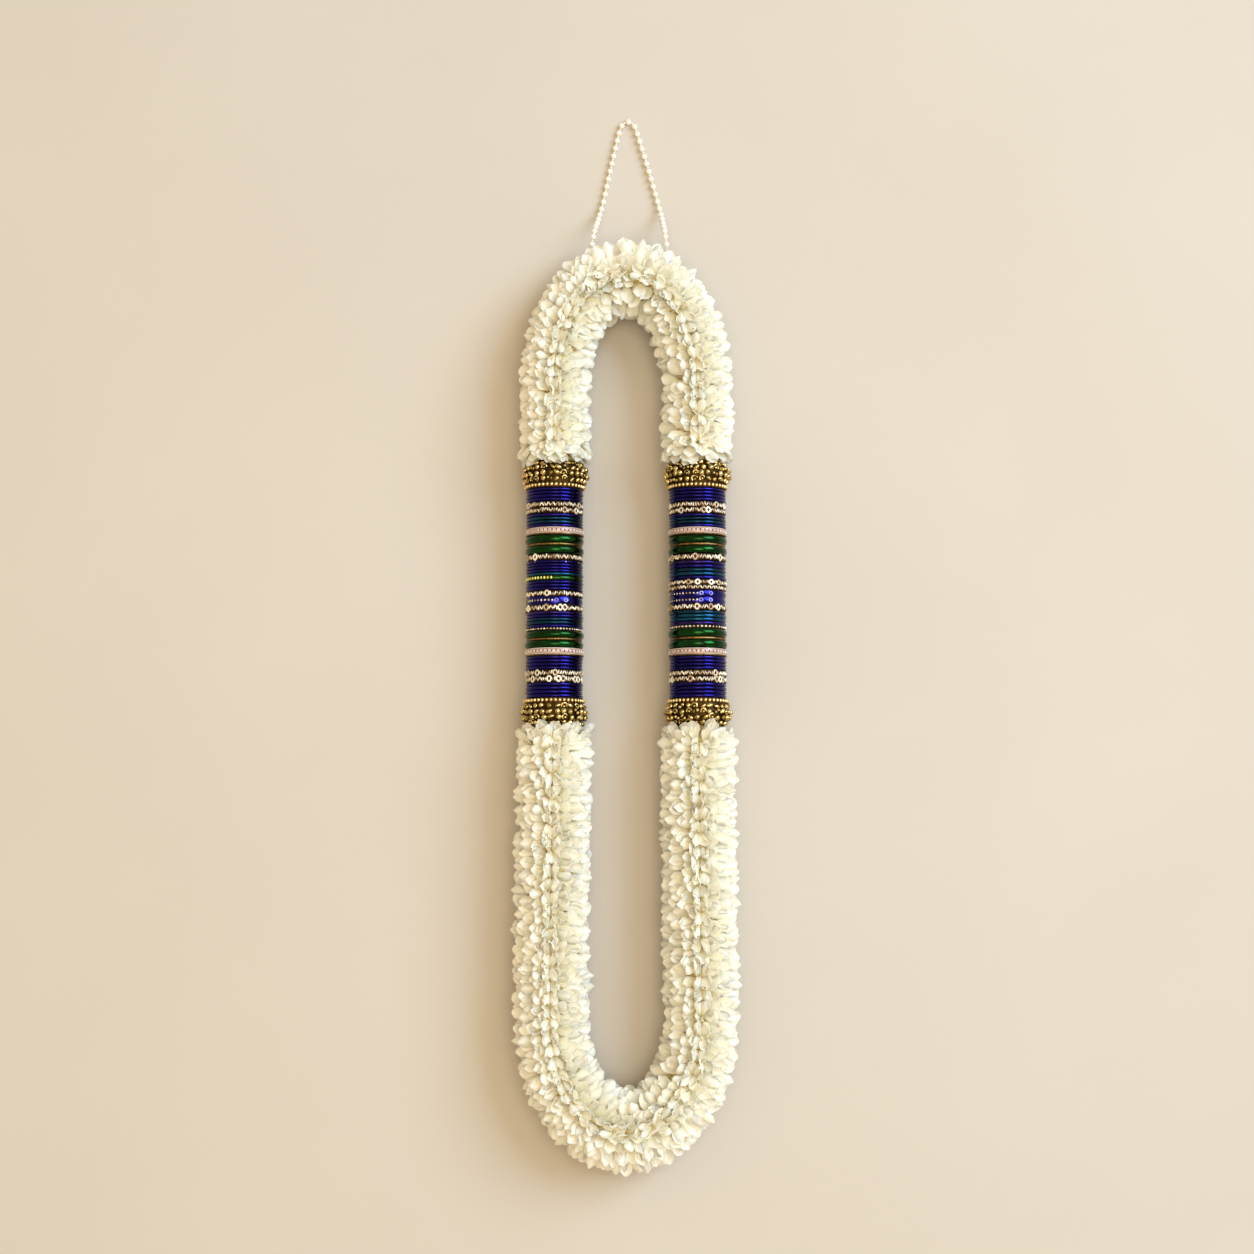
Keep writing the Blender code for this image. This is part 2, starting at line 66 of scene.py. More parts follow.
# The petals, thin and cupped, on a core that shows only in the gaps. They lie like feathers in
# columns along the rope, with their faces towards the viewer and their tips away from the line
# nearest the viewer. Each column has the angle of its tips from that line and that of its roots,
# in degrees, and the radius of its roots.
PETAL_COLUMNS = (
    (10, 2, 0.0240),
    (29, 8, 0.0235),
    (51, 20, 0.0240),
    (78, 44, 0.0245),
    (108, 74, 0.0250),
    (138, 106, 0.0240),
    (166, 142, 0.0225),
)
PETAL_PITCH = 0.0118
LEAST_CROWDING = 0.45
UNDER_LAYER_DROP = 0.0030
FACE_TILT = 0.35
HOLLOW_SHARE = 0.75
PETAL_WIDTH = 0.0120
PETAL_BELLY = 0.0024
PETAL_BEND = 0.0016
PETAL_THICKNESS = 0.0006
CORE_RADIUS = 0.0245
CORE_STEP = 0.006
CORE_SIDES = 20
FLOOR_CLEARANCE = 0.0005
TIP_CLEARANCE = 0.0012

# The radius of the columns' tips, on the straight lengths and where the loop bends most.
ARCH_REACH = (0.0396, 0.0438)
LOWER_REACH = (0.0415, 0.0455)

# How much one petal differs from the next: in its sizes, its bend, how pointed it is, its place,
# the radius and the angle of its tip, and its lean along the rope.
LENGTH_RANGE = (0.96, 1.04)
WIDTH_RANGE = (0.82, 1.10)
BELLY_RANGE = (0.6, 1.3)
BEND_SPREAD = 0.7
POINT_SPREAD = 0.25
PLACE_SPREAD = 0.0015
TIP_SPREAD = 0.0007
ANGLE_SPREAD = 4.0
LEAN_SPREAD = 0.15

# Along the line nearest the viewer small petals lie on the others, and golden-brown stalk ends
# between them, partly the stalks' own colour and partly painted shade of the gaps.
MIDDLE_PITCH = 0.0130
MIDDLE_PITCH_RANGE = (0.92, 1.08)
MIDDLE_START = 0.004
MIDDLE_ANGLE = 0.035
MIDDLE_SLANT = (0.0030, 0.0055)
MIDDLE_ROOT = 0.0300
MIDDLE_TIP = 0.0375
MIDDLE_LENGTH = 0.0150
MIDDLE_WIDTH = 0.0095
STALK_SHADE_RADIUS = 0.0382
STALK_SHADE_SPREAD = 0.0042
STALK_SHADE_SIZE = (0.0008, 0.0013, 0.0008)

# Over the caps two rows of longer petals lie along the rope, set back a little at the loop's
# sides. Each row has its distance inside the end, the radius of its tips and its length.
SKIRT_ROOT = 0.0265
SKIRT_ROUND = 16
SKIRT_WIDTH = 0.0138
SKIRT_ROWS = ((0.0130, 0.0376, 0.0205), (0.0170, 0.0392, 0.0200))
SKIRT_LENGTH = 0.0100
SKIRT_SET_BACK = 0.0045
SKIRT_TURN_SPREAD = 0.16
SKIRT_PLACE_SPREAD = 0.0009
SKIRT_TIP_SPREAD = 0.0018

# Near a cap the columns lean towards it, less so at the loop's sides.
CAP_LEAN = 0.95
LEAN_FADE = 0.0100
SIDE_LEAN_LOSS = 0.55

# The bangles: each set's rings from the top down. A gold line takes its own share of a set.
BANGLE_RADIUS = 0.0300
BANGLE_INNER = 0.0270
GLASS_BULGE = 0.0019
LIME_BULGE = 0.0014
GREEN_BULGE = 0.0030
GREEN_RADIUS = 0.0307
GLASS_STEPS = 6
RING_STEPS = 72
RING_EDGE = 0.0003
RING_WANDER = 0.0004
LINE_SHARE = 0.11
LINE_DEPTH = 0.0010
BLUE_SET = ("blue",) * 4
GREEN_SET = ("green", "line", "green")
GLITTER = ("glitter",)
GLITTER_PAIR = ("glitter", "glitter")
TOP_SETS = (BLUE_SET, GLITTER_PAIR, ("blue", "teal", "teal", "blue"), ("band",), GREEN_SET, GLITTER)
FOOT_SETS = (("beaded",), GREEN_SET, ("band",), BLUE_SET, GLITTER_PAIR, BLUE_SET)
LEFT_RINGS = (
    *TOP_SETS,
    ("speckled", "blue", "blue", "blue", "cyan"),
    ("lime",),
    ("blue", "blue", "blue"),
    GLITTER,
    ("faceted",),
    GLITTER,
    ("violet", "blue", "teal", "teal", "blue"),
    *FOOT_SETS,
)
RIGHT_RINGS = (
    *TOP_SETS,
    ("violet", "blue", "teal", "cyan", "blue"),
    GLITTER_PAIR,
    ("faceted", "faceted"),
    GLITTER,
    ("teal", "cyan", "cyan", "violet"),
    *FOOT_SETS,
)

# The trim on the bangles. The glitter's stones are chevrons below the first limit, rings above
# the second and pairs of beads between them. Places round a ring are in degrees, with 90 nearest
# the viewer and 180 on the left.
GLITTER_DEPTH = 0.0007
STONE_PITCH = 0.0050
STONE_DEPTH = 0.0007
CHEVRONS_BELOW = 0.50
RINGS_ABOVE = 0.84
BAND_DOTS = 42
BAND_EDGE = 0.18
BAND_RAIL = 0.08
DOT_WIDTH = 0.0010
CHEVRON_WIDTH = 0.00055
TRIM_DEPTH = 0.0005
FACETS = 30
FACET_DEPTH = 0.0012
FLAKES = [92 + 7.5 * k for k in range(11)]
FLAKE_WIDTH = 0.0011
# Small bright blue rings on the faceted band's right side, where the light falls: painted
# highlights.
FACET_HIGHLIGHTS = (84, 64)
FACET_HIGHLIGHT_SIZE = (0.0018, 0.0016, 0.0012)
BEAD_SPACING = 3.2
LIME_STONES = [95 + 7 * k for k in range(26)]
LIME_STONE_WIDTH = 0.0014
SPECKS = 14
SPECK_SIZE = (0.0006, 0.0008, 0.0003)

# The caps: distance from the bangles and radius of each row of ornaments, and of the corners of
# the ground at its foot and its end. The limits are those of balls, grains and arches.
CAP_ROWS = ((0.0084, 0.0313), (0.0141, 0.0334), (0.0198, 0.0326), (0.0252, 0.0292))
CAP_FOOT = ((0.0, 0.0292), (0.0046, 0.0296))
CAP_END = (0.0285, 0.0275)
CAP_GROUND_DEPTH = 0.0014
CAP_STEPS = 48
CAP_PITCH = 0.0075
CAP_TURN_WANDER = 0.15
CAP_WANDER = 0.0006
CAP_BEAD = 0.0030
CAP_BEAD_RANGE = (0.85, 1.1)
CAP_SLANT = 0.8
CAP_LIMITS = (0.36, 0.66, 0.84)
RIM_BEADS = 42
RIM_BEAD = (0.0017, 0.0021, 0.0017)
RIM_RADIUS = 0.0306
RIM_OFFSET = 0.0024
RIM_GROUND = (0.0002, 0.0047)
RIM_GROUND_DEPTH = 0.0010

# The pearl strand's route, the same as the part's, and the beads on it.
STRAND_ROUTE = (
    (-0.0440, 0.4305, AXIS_Z),
    (-0.0397, 0.4573, AXIS_Z),
    (-0.0354, 0.4840, AXIS_Z),
    (-0.0332, 0.4970, 0.0316),
    (-0.0305, 0.5100, 0.0180),
    (-0.0278, 0.5225, 0.0076),
    (-0.0246, 0.5360, 0.0036),
    (-0.0186, 0.5640, 0.0034),
    (-0.0126, 0.5910, 0.0034),
    (-0.0072, 0.6140, 0.0034),
    (-0.0035, 0.6215, 0.0034),
    (0.0020, 0.6245, 0.0034),
    (0.0075, 0.6215, 0.0034),
    (0.0112, 0.6140, 0.0034),
    (0.0183, 0.5900, 0.0034),
    (0.0260, 0.5640, 0.0034),
    (0.0336, 0.5360, 0.0036),
    (0.0368, 0.5225, 0.0076),
    (0.0390, 0.5100, 0.0180),
    (0.0407, 0.4970, 0.0316),
    (0.0420, 0.4840, AXIS_Z),
    (0.0460, 0.4538, AXIS_Z),
    (0.0500, 0.4235, AXIS_Z),
)
FIRST_EXIT = 2
LAST_EXIT = 20
ROUTE_STEPS = 12
THREAD_DIAMETER = 0.0010
PEARL_RADIUS = 0.0031
SPACER_RADIUS = 0.0013
PEARL_PITCH = 0.0085
PEARLS_INSIDE = 0.0090

# The camera stands where the photograph's did, square on to the garland and a little below
# its middle.
CAMERA_AT = (0.001, -0.1597, 2.3263)
CAMERA_TARGET = (0.001, 0.0724, 0.038)
CAMERA_UP = (0.0, 0.9949, 0.1009)
PHOTO_SIDE = 1254
FOCAL_LENGTH_IN_PIXELS = 2211
SENSOR_MM = 36.0

# The lamps: name, place, side, power and colour. All of them aim at one point.
LAMPS = (
    ("key", (4.1, 2.0, 4.0), 3.6, 346.0, (0.57, 0.80, 0.98)),
    ("front", (0.3, -0.2, 3.2), 1.8, 44.0, (1.0, 0.87, 0.62)),
)
LAMP_TARGET = (0.0, 0.1, 0.0)
SKY_COLOUR = (1.0, 0.80, 0.48, 1.0)
SKY_STRENGTH = 0.72
FLOOR_SIZE = 6.0


# Meshes

SHARP_EDGE = math.radians(60)


def new_object(name, data):
    """A new object in the scene, for a mesh, a curve, a lamp or a camera."""
    obj = bpy.data.objects.new(name, data)
    bpy.context.scene.collection.objects.link(obj)
    return obj


class Pile:
    """Gathers points and faces of many small shapes, then makes them one smooth object."""

    def __init__(self):
        self.points, self.faces, self.slots, self.tints = [], [], [], []
        self.count = 0

    def add(self, points, faces, slot, tints=None):
        points = np.asarray(points, dtype=float)
        self.points.append(points)
        self.faces += [tuple(i + self.count for i in face) for face in faces]
        self.slots += [slot] * len(faces)
        blank = np.ones((len(points), 4))
        self.tints.append(blank if tints is None else np.asarray(tints, dtype=float))
        self.count += len(points)

    def build(self, name, materials):
        mesh = bpy.data.meshes.new(name)
        mesh.from_pydata(np.concatenate(self.points).tolist(), [], self.faces)
        for made in materials:
            mesh.materials.append(made)
        mesh.polygons.foreach_set("material_index", self.slots)
        mesh.polygons.foreach_set("use_smooth", [True] * len(self.faces))
        tint = mesh.color_attributes.new("tint", "FLOAT_COLOR", "POINT")
        tint.data.foreach_set("color", np.concatenate(self.tints).ravel())
        mesh.update()
        mesh.set_sharp_from_angle(angle=SHARP_EDGE)
        return new_object(name, mesh)


def unit_ball(subdivisions):
    bm = bmesh.new()
    bmesh.ops.create_icosphere(bm, subdivisions=subdivisions, radius=1.0)
    points = np.array([tuple(v.co) for v in bm.verts])
    faces = [tuple(v.index for v in f.verts) for f in bm.faces]
    bm.free()
    return points, faces


def ring_faces(rows, columns, closed):
    """Quads over rows of points that each go round. The last row meets the first one where the
    body is closed. Its two ends are filled where it is not."""
    faces = []
    for i in range(rows if closed else rows - 1):
        here, there = i * columns, (i + 1) % rows * columns
        for j in range(columns):
            k = (j + 1) % columns
            faces.append((here + j, here + k, there + k, there + j))
    if not closed:
        faces.append(tuple(range(columns)))
        faces.append(tuple((rows - 1) * columns + j for j in reversed(range(columns))))
    return faces


def tube_section(turn, radius, tube, sides):
    """Points round a ring's tube where the ring about Z has turned that far."""
    points = []
    for j in range(sides):
        roll = 2 * math.pi * j / sides
        reach = radius + tube * math.cos(roll)
        points.append((reach * math.cos(turn), reach * math.sin(turn), tube * math.sin(roll)))
    return points


def unit_ring(tube, steps=14, sides=8):
    """A ring of radius 1 about Z, with a tube of that radius."""
    points = []
    for i in range(steps):
        points += tube_section(2 * math.pi * i / steps, 1, tube, sides)
    return np.array(points), ring_faces(steps, sides, True)


def unit_arch(tube, steps=9, sides=7):
    """A little over half a ring within radius 1, thinner towards its ends."""
    points = []
    for i in range(steps + 1):
        turn = math.pi * (1.2 * i / steps - 0.1)
        thin = tube * (0.55 + 0.45 * math.sin(math.pi * i / steps))
        points += tube_section(turn, 1 - tube, thin, sides)
    return np.array(points), ring_faces(steps + 1, sides, False)


BALL = unit_ball(2)
SMALL_BALL = unit_ball(1)
FINE_BALL = unit_ball(3)
OPEN_RING = unit_ring(0.42)
ARCH = unit_arch(0.3)
STACK_WAY = np.array([0.0, 1.0, 0.0])


def laid(points, axes):
    """A shape's points with its X, Y and Z along the three axes."""
    return sum(points[:, k : k + 1] * axes[k] for k in range(3))


def add_shape(pile, shape, place, axes, sizes, slot, tone):
    """Adds a unit shape in those sizes along the axes, with that tone for its own shade."""
    points, faces = shape
    tints = np.ones((len(points), 4))
    tints[:, 2] = tone
    pile.add(place + laid(points * sizes, axes), faces, slot, tints)


def on_stack(x, y, radius, turn):
    """A point on a cylinder about the stack's axis, and its outward and sideways directions."""
    out = np.array([math.cos(turn), 0.0, math.sin(turn)])
    side = np.array([-math.sin(turn), 0.0, math.cos(turn)])
    return np.array([x, y, AXIS_Z]) + out * radius, out, side


def add_turned(pile, x, rows, slot, steps=RING_STEPS):
    """Adds a closed body turned round the stack's axis: rows are (y, radius) round its section."""
    points = []
    for turn in 2 * np.pi * np.arange(steps) / steps:
        points += [on_stack(x, y, radius, turn)[0] for y, radius in rows]
    pile.add(points, ring_faces(steps, len(rows), True), slot)


def slanted(side, slant):
    """The stack's sideways and lengthwise directions, turned by that much."""
    across = side * math.cos(slant) + STACK_WAY * math.sin(slant)
    return across, STACK_WAY * math.cos(slant) - side * math.sin(slant)


def set_on_stack(pile, shape, spot, sizes, slot, tone, slant=0.0):
    """Adds a unit shape at a spot of the stack, its sizes going round, along and out of it."""
    place, out, side = on_stack(*spot)
    add_shape(pile, shape, place, (*slanted(side, slant), out), sizes, slot, tone)


# Materials

def new_material(name):
    made = bpy.data.materials.new(name)
    made.use_nodes = True
    return made, made.node_tree


def shader_of(tree):
    return tree.nodes["Principled BSDF"]


def set_values(node, values):
    """Sets a node's plain values by their sockets' names."""
    for name, value in values.items():
        node.inputs[name].default_value = value


def tint_parts(tree):
    """The four parts of the tint that a piece's points carry."""
    tint = tree.nodes.new("ShaderNodeAttribute")
    tint.attribute_name = "tint"
    parts = tree.nodes.new("ShaderNodeSeparateColor")
    tree.links.new(tint.outputs["Color"], parts.inputs["Color"])
    return [parts.outputs[name] for name in ("Red", "Green", "Blue")] + [tint.outputs["Alpha"]]


def mix_colours(tree, factor, first, second):
    """A colour between two, each a tuple or another node's output."""
    mix = tree.nodes.new("ShaderNodeMix")
    mix.data_type = "RGBA"
    tree.links.new(factor, mix.inputs["Factor"])
    for socket, value in ((mix.inputs[6], first), (mix.inputs[7], second)):
        if isinstance(value, tuple):
            socket.default_value = (*value, 1.0)
        else:
            tree.links.new(value, socket)
    return mix.outputs[2]


def noise(tree, scale, detail=3.0):
    coords = tree.nodes.new("ShaderNodeTexCoord")
    made = tree.nodes.new("ShaderNodeTexNoise")
    set_values(made, {"Scale": scale, "Detail": detail})
    tree.links.new(coords.outputs["Object"], made.inputs["Vector"])
    return made.outputs["Fac"]


def ramp(tree, factor, *stops):
    """The colour that a factor has between the stops, each a place and a colour."""
    made = tree.nodes.new("ShaderNodeValToRGB")
    tree.links.new(factor, made.inputs["Fac"])
    elements = made.color_ramp.elements
    while len(elements) < len(stops):
        elements.new(0.5)
    for element, (place, colour) in zip(elements, stops):
        element.position = place
        element.color = (*colour, 1.0)
    return made.outputs["Color"]


def grey_ramp(tree, factor, *stops):
    return ramp(tree, factor, *((place, (grey,) * 3) for place, grey in stops))


def bump(tree, height, strength, distance):
    made = tree.nodes.new("ShaderNodeBump")
    set_values(made, {"Strength": strength, "Distance": distance})
    tree.links.new(height, made.inputs["Height"])
    tree.links.new(made.outputs["Normal"], shader_of(tree).inputs["Normal"])


def dress(tree, colour, values):
    """Gives the shader its colour and its plain values."""
    tree.links.new(colour, shader_of(tree).inputs["Base Color"])
    set_values(shader_of(tree), values)


def mottled(name, blotch, stops, grain, values, detail=3.0):
    """A material with blotches of that scale between the stops' colours. Its grain has a scale,
    a strength and a height."""
    made, tree = new_material(name)
    colour = ramp(tree, noise(tree, blotch, detail), *stops)
    dress(tree, colour, values)
    scale, strength, height = grain
    bump(tree, noise(tree, scale), strength, height)
    return made


def petal_material():
    """Ivory with faint veins, a painted highlight along the rims, and yellow-green towards the
    root, partly the petals' own colour and partly painted shade where the roots lie deep among the
    others. The tint holds the rim, the place along the petal, a number for each petal and the
    place across it."""
    made, tree = new_material("petal_ivory")
    rim, along, number, across = tint_parts(tree)
    # Golden yellow-green at the root: partly the petal's own colour, partly painted shade, as the
    # roots lie deep among the other petals.
    body = ramp(
        tree,
        along,
        (0.0, (0.74, 0.60, 0.26)),
        (0.35, (0.95, 0.88, 0.60)),
        (0.66, (0.975, 0.94, 0.79)),
        (1.0, (0.98, 0.955, 0.86)),
    )
    place = tree.nodes.new("ShaderNodeCombineXYZ")
    for source, name in ((across, "X"), (along, "Y"), (number, "Z")):
        tree.links.new(source, place.inputs[name])
    stretch = tree.nodes.new("ShaderNodeMapping")
    stretch.inputs["Scale"].default_value = (6.0, 1.2, 40.0)
    tree.links.new(place.outputs["Vector"], stretch.inputs["Vector"])
    veins = tree.nodes.new("ShaderNodeTexNoise")
    veins.inputs["Scale"].default_value = 1.0
    tree.links.new(stretch.outputs["Vector"], veins.inputs["Vector"])
    veined = tree.nodes.new("ShaderNodeMix")
    veined.data_type = "RGBA"
    veined.blend_type = "MULTIPLY"
    veined.inputs["Factor"].default_value = 0.6
    tree.links.new(body, veined.inputs[6])
    streak = grey_ramp(tree, veins.outputs["Fac"], (0.35, 0.92), (0.65, 1.0))
    tree.links.new(streak, veined.inputs[7])
    shade = grey_ramp(tree, number, (0.0, 0.0), (1.0, 0.5))
    paler = mix_colours(tree, shade, veined.outputs[2], (0.96, 0.93, 0.80))
    # Painted highlight: towards the rims the colour goes to near white.
    edge = grey_ramp(tree, rim, (0.30, 0.0), (0.90, 1.0))
    colour = mix_colours(tree, edge, paler, (1.0, 0.995, 0.965))
    values = {
        "Roughness": 0.42,
        "Subsurface Weight": 0.6,
        "Subsurface Radius": (1.0, 0.92, 0.7),
        "Subsurface Scale": 0.0045,
    }
    dress(tree, colour, values)
    bump(tree, veins.outputs["Fac"], 0.15, 0.0004)
    return made


def claws_and_shade_material():
    """The flowers' claws, mottled between pale yellow-green and golden brown. The golden brown is
    painted shade, so that the gaps between the petals look shaded.
    """
    stops = ((0.35, (0.26, 0.16, 0.03)), (0.5, (0.60, 0.48, 0.20)), (0.65, (0.80, 0.72, 0.42)))
    return mottled("petal_claws_and_shade", 330.0, stops, (330.0, 0.6, 0.002), {"Roughness": 0.7})


def glass_material(name, deep, bright):
    """Coloured glass with a metallic lustre, as such bangles have."""
    values = {"Metallic": 0.95, "Roughness": 0.13, "Coat Weight": 0.16, "Coat Roughness": 0.08}
    return mottled(name, 90.0, ((0.3, deep), (0.75, bright)), (150.0, 0.08, 0.0008), values)


def metal_material(name, dark, light, roughness, scale=600.0):
    values = {"Metallic": 1.0, "Roughness": roughness}
    return mottled(name, scale, ((0.35, dark), (0.65, light)), (scale * 1.7, 0.2, 0.0004), values)


def stone_material(name, first, second, roughness=0.2):
    """Small bright stones: each takes its own shade from the tint."""
    made, tree = new_material(name)
    colour = mix_colours(tree, tint_parts(tree)[2], first, second)
    dress(tree, colour, {"Metallic": 0.35, "Roughness": roughness, "Coat Weight": 0.5})
    return made


def pearl_material():
    made, tree = new_material("pearl_lustre")
    sheen = tree.nodes.new("ShaderNodeLayerWeight")
    sheen.inputs["Blend"].default_value = 0.35
    facing = sheen.outputs["Facing"]
    colour = mix_colours(tree, facing, (0.90, 0.87, 0.80), (0.78, 0.70, 0.66))
    dress(tree, colour, {"Roughness": 0.18, "Coat Weight": 0.7})
    bump(tree, noise(tree, 500.0), 0.05, 0.0003)
    return made


def plain_material(name, dark, light, roughness, scale):
    grain = (scale * 2, 0.3, 0.0005)
    return mottled(name, scale, ((0.3, dark), (0.7, light)), grain, {"Roughness": roughness})


def floor_material():
    stops = ((0.3, (0.560, 0.508, 0.480)), (0.7, (0.580, 0.528, 0.499)))
    values = {"Roughness": 0.85, "Specular IOR Level": 0.2}
    return mottled("pale_plaster", 3.0, stops, (220.0, 0.12, 0.0006), values, detail=4.0)


# Flowers

class Route:
    """A line through the rope's middle, read by its length from the start."""

    def __init__(self, points, outward):
        self.points = np.array(points)
        steps = np.linalg.norm(np.diff(self.points, axis=0), axis=1)
        self.lengths = np.concatenate([[0.0], np.cumsum(steps)])
        self.length = float(self.lengths[-1])
        self.outward = outward

    def on_line(self, s):
        return np.array([np.interp(s, self.lengths, self.points[:, k]) for k in range(2)])

    def frame(self, s):
        """The rope's middle at s, the direction along it and the one out of the loop."""
        inside = min(max(s, 0.0), self.length)
        ahead = self.on_line(min(inside + FRAME_STEP, self.length))
        behind = self.on_line(max(inside - FRAME_STEP, 0.0))
        along = (ahead - behind) / np.linalg.norm(ahead - behind)
        middle = self.on_line(inside) + along * (s - inside)
        out = np.array([-along[1], along[0], 0.0]) * self.outward
        return np.array([*middle, AXIS_Z]), np.array([*along, 0.0]), out


def arc(half_width, rise, centre_y, way):
    """Half an ellipse, from its left end to its right one."""
    points = []
    for step in range(ROUTE_POINTS):
        turn = math.pi * (1 + way * step / (ROUTE_POINTS - 1))
        points.append((half_width * math.cos(turn), centre_y + rise * math.sin(turn)))
    return points


def arch_route():
    foot = STACK_CENTRE_Y + FLOWER_END
    top = arc(ARCH_HALF_WIDTH, ARCH_RISE, ARCH_CENTRE_Y, -1)
    return Route([(-ARCH_HALF_WIDTH, foot), *top, (ARCH_HALF_WIDTH, foot)], 1)


def lower_side_x(y):
    top = STACK_CENTRE_Y - FLOWER_END
    share = (top - y) / (top - BEND_CENTRE_Y)
    ease = share * share * (3 - 2 * share)
    return ARCH_HALF_WIDTH + (BEND_HALF_WIDTH - ARCH_HALF_WIDTH) * ease


def lower_route():
    top = STACK_CENTRE_Y - FLOWER_END
    leg = [(lower_side_x(y), y) for y in np.linspace(top, BEND_CENTRE_Y, ROUTE_POINTS)[:-1]]
    bend = arc(BEND_HALF_WIDTH, BEND_DROP, BEND_CENTRE_Y, 1)
    return Route([*((-x, y) for x, y in leg), *bend, *reversed(leg)], -1)


# A petal's grid: its places along and across, then its half width and its bulge along it.
ALONG = np.array([0.0, 0.30, 0.56, 0.78, 0.92, 1.0])
ACROSS = np.array([-1.0, -0.62, 0.0, 0.62, 1.0])
ROUND_TIP = np.array([0.26, 0.58, 0.90, 1.00, 0.90, 0.56])
POINTED_TIP = np.array([0.24, 0.58, 0.98, 0.86, 0.46, 0.06])
BELLY = np.array([0.25, 0.62, 0.95, 1.00, 0.88, 0.70])


def petal_faces():
    """Quads of a closed petal: an upper and a lower sheet that share their edge."""
    rows, columns = len(ALONG), len(ACROSS)
    upper = np.arange(rows * columns).reshape(rows, columns)
    lower = upper.copy()
    inner = (rows - 2) * (columns - 2)
    lower[1:-1, 1:-1] = rows * columns + np.arange(inner).reshape(rows - 2, columns - 2)
    faces = []
    for i in range(rows - 1):
        for j in range(columns - 1):
            faces.append((upper[i, j], upper[i, j + 1], upper[i + 1, j + 1], upper[i + 1, j]))
            faces.append((lower[i, j], lower[i + 1, j], lower[i + 1, j + 1], lower[i, j + 1]))
    return [tuple(int(k) for k in face) for face in faces]


PETAL_FACES = petal_faces()
U, V = np.meshgrid(ALONG, ACROSS, indexing="ij")
# How near each point is to the petal's edge, from 0 inside it to 1 on it.
RIM = np.clip(np.maximum(np.abs(V) ** 3, (U - 0.84) / 0.16), 0, 1)


def both_sheets(grid):
    """A value for each point of a closed petal, from the grid of its middle sheet."""
    return np.concatenate([grid.ravel(), grid[1:-1, 1:-1].ravel()])


def petal_points(length, width, belly, bend, point):
    """A cupped petal's points with its root at the origin, its length along Y and its back
    bulging up Z, and its tip bent down by that much."""
    half = (ROUND_TIP * (1 - point) + POINTED_TIP * point)[:, None] * width / 2
    x = half * V
    y = length * (U - 0.09 * V**2 * U**2)
    z = belly * BELLY[:, None] * (1 - V**2) - bend * U**2.2
    swell = PETAL_THICKNESS * (1 - V**2) * (0.4 + 0.6 * np.sin(np.pi * U))
    upper = np.stack([x, y, z + swell / 2], axis=-1).reshape(-1, 3)
    lower = np.stack([x, y, z - swell / 2], axis=-1)[1:-1, 1:-1].reshape(-1, 3)
    return np.concatenate([upper, lower])


def add_petal(pile, root, axes, shape, tone):
    """Adds a petal whose width, length and back lie along the three axes."""
    world = root + laid(shape, axes)
    world[:, 2] = np.maximum(world[:, 2], FLOOR_CLEARANCE)
    tints = np.stack(
        [both_sheets(RIM), both_sheets(U), np.full(len(shape), tone), both_sheets(V)], axis=-1
    )
    pile.add(world, PETAL_FACES, 0, tints)


def unit(vector):
    return vector / np.linalg.norm(vector)


def around(route, s, angle):
    """The rope's middle at s, and the directions along it, out of it and round it."""
    middle, along, out = route.frame(s)
    up = np.array([0.0, 0.0, 1.0])
    radial = out * math.cos(angle) + up * math.sin(angle)
    return middle, along, radial, up * math.cos(angle) - out * math.sin(angle)


def room_above_floor(radial, reach):
    """The reach that still clears the floor."""
    if radial[2] >= 0:
        return reach
    return min(reach, (AXIS_Z - TIP_CLEARANCE) / -radial[2])


def petal_shape(draw, length, width, bend, pointed):
    """A petal of about that size, a little different each time."""
    return petal_points(
        length * draw.uniform(*LENGTH_RANGE),
        width * draw.uniform(*WIDTH_RANGE),
        PETAL_BELLY * draw.uniform(*BELLY_RANGE),
        bend,
        min(1.0, max(0.0, draw.gauss(pointed, POINT_SPREAD))),
    )


def petal_between(pile, root, tip, facing, width, draw, twist=0.12, pointed=0.1):
    """A petal from root to tip with its face about that way, hollow more often than not."""
    axis = unit(tip - root)
    face = unit(facing - axis * np.dot(facing, axis))
    side = np.cross(axis, face)
    turn = draw.gauss(0.0, twist)
    face = face * math.cos(turn) + side * math.sin(turn)
    back = -face if draw.random() < HOLLOW_SHARE else face
    bend = PETAL_BEND * draw.gauss(0.0, BEND_SPREAD)
    shape = petal_shape(draw, float(np.linalg.norm(tip - root)), width, bend, pointed)
    add_petal(pile, root, (np.cross(axis, back), axis, back), shape, draw.random())


def reach_at(route, s, angle, reach):
    """The petals are a little longer where the loop bends, in the loop's own plane."""
    middle, _, _ = route.frame(s)
    bend = max(0.0, 1 - (middle[0] / ARCH_HALF_WIDTH) ** 2)
    return reach[0] + (reach[1] - reach[0]) * bend * abs(math.cos(angle))


def column_petal(pile, route, s, side, column, lean, reach, draw):
    """A petal of a column on that side of the line nearest the viewer."""
    tip_turn, root_turn, root_radius = column
    tip_angle = math.pi / 2 - side * math.radians(tip_turn + draw.gauss(0.0, ANGLE_SPREAD))
    root_angle = math.pi / 2 - side * math.radians(root_turn)
    middle, along, outwards, about = around(route, s, tip_angle)
    tip_radius = room_above_floor(outwards, reach_at(route, s, tip_angle, reach))
    root = around(route, s, root_angle)[2] * root_radius
    reaching = outwards * tip_radius - root
    length = float(np.linalg.norm(reaching))
    lean += draw.gauss(0.0, LEAN_SPREAD)
    axis = reaching / length * math.cos(lean) + along * math.sin(lean)
    stretch = 1 / math.sqrt(max(0.6, math.cos(lean)))
    root = middle + root
    facing = outwards + side * about * FACE_TILT
    petal_between(pile, root, root + axis * length * stretch, facing, PETAL_WIDTH, draw)


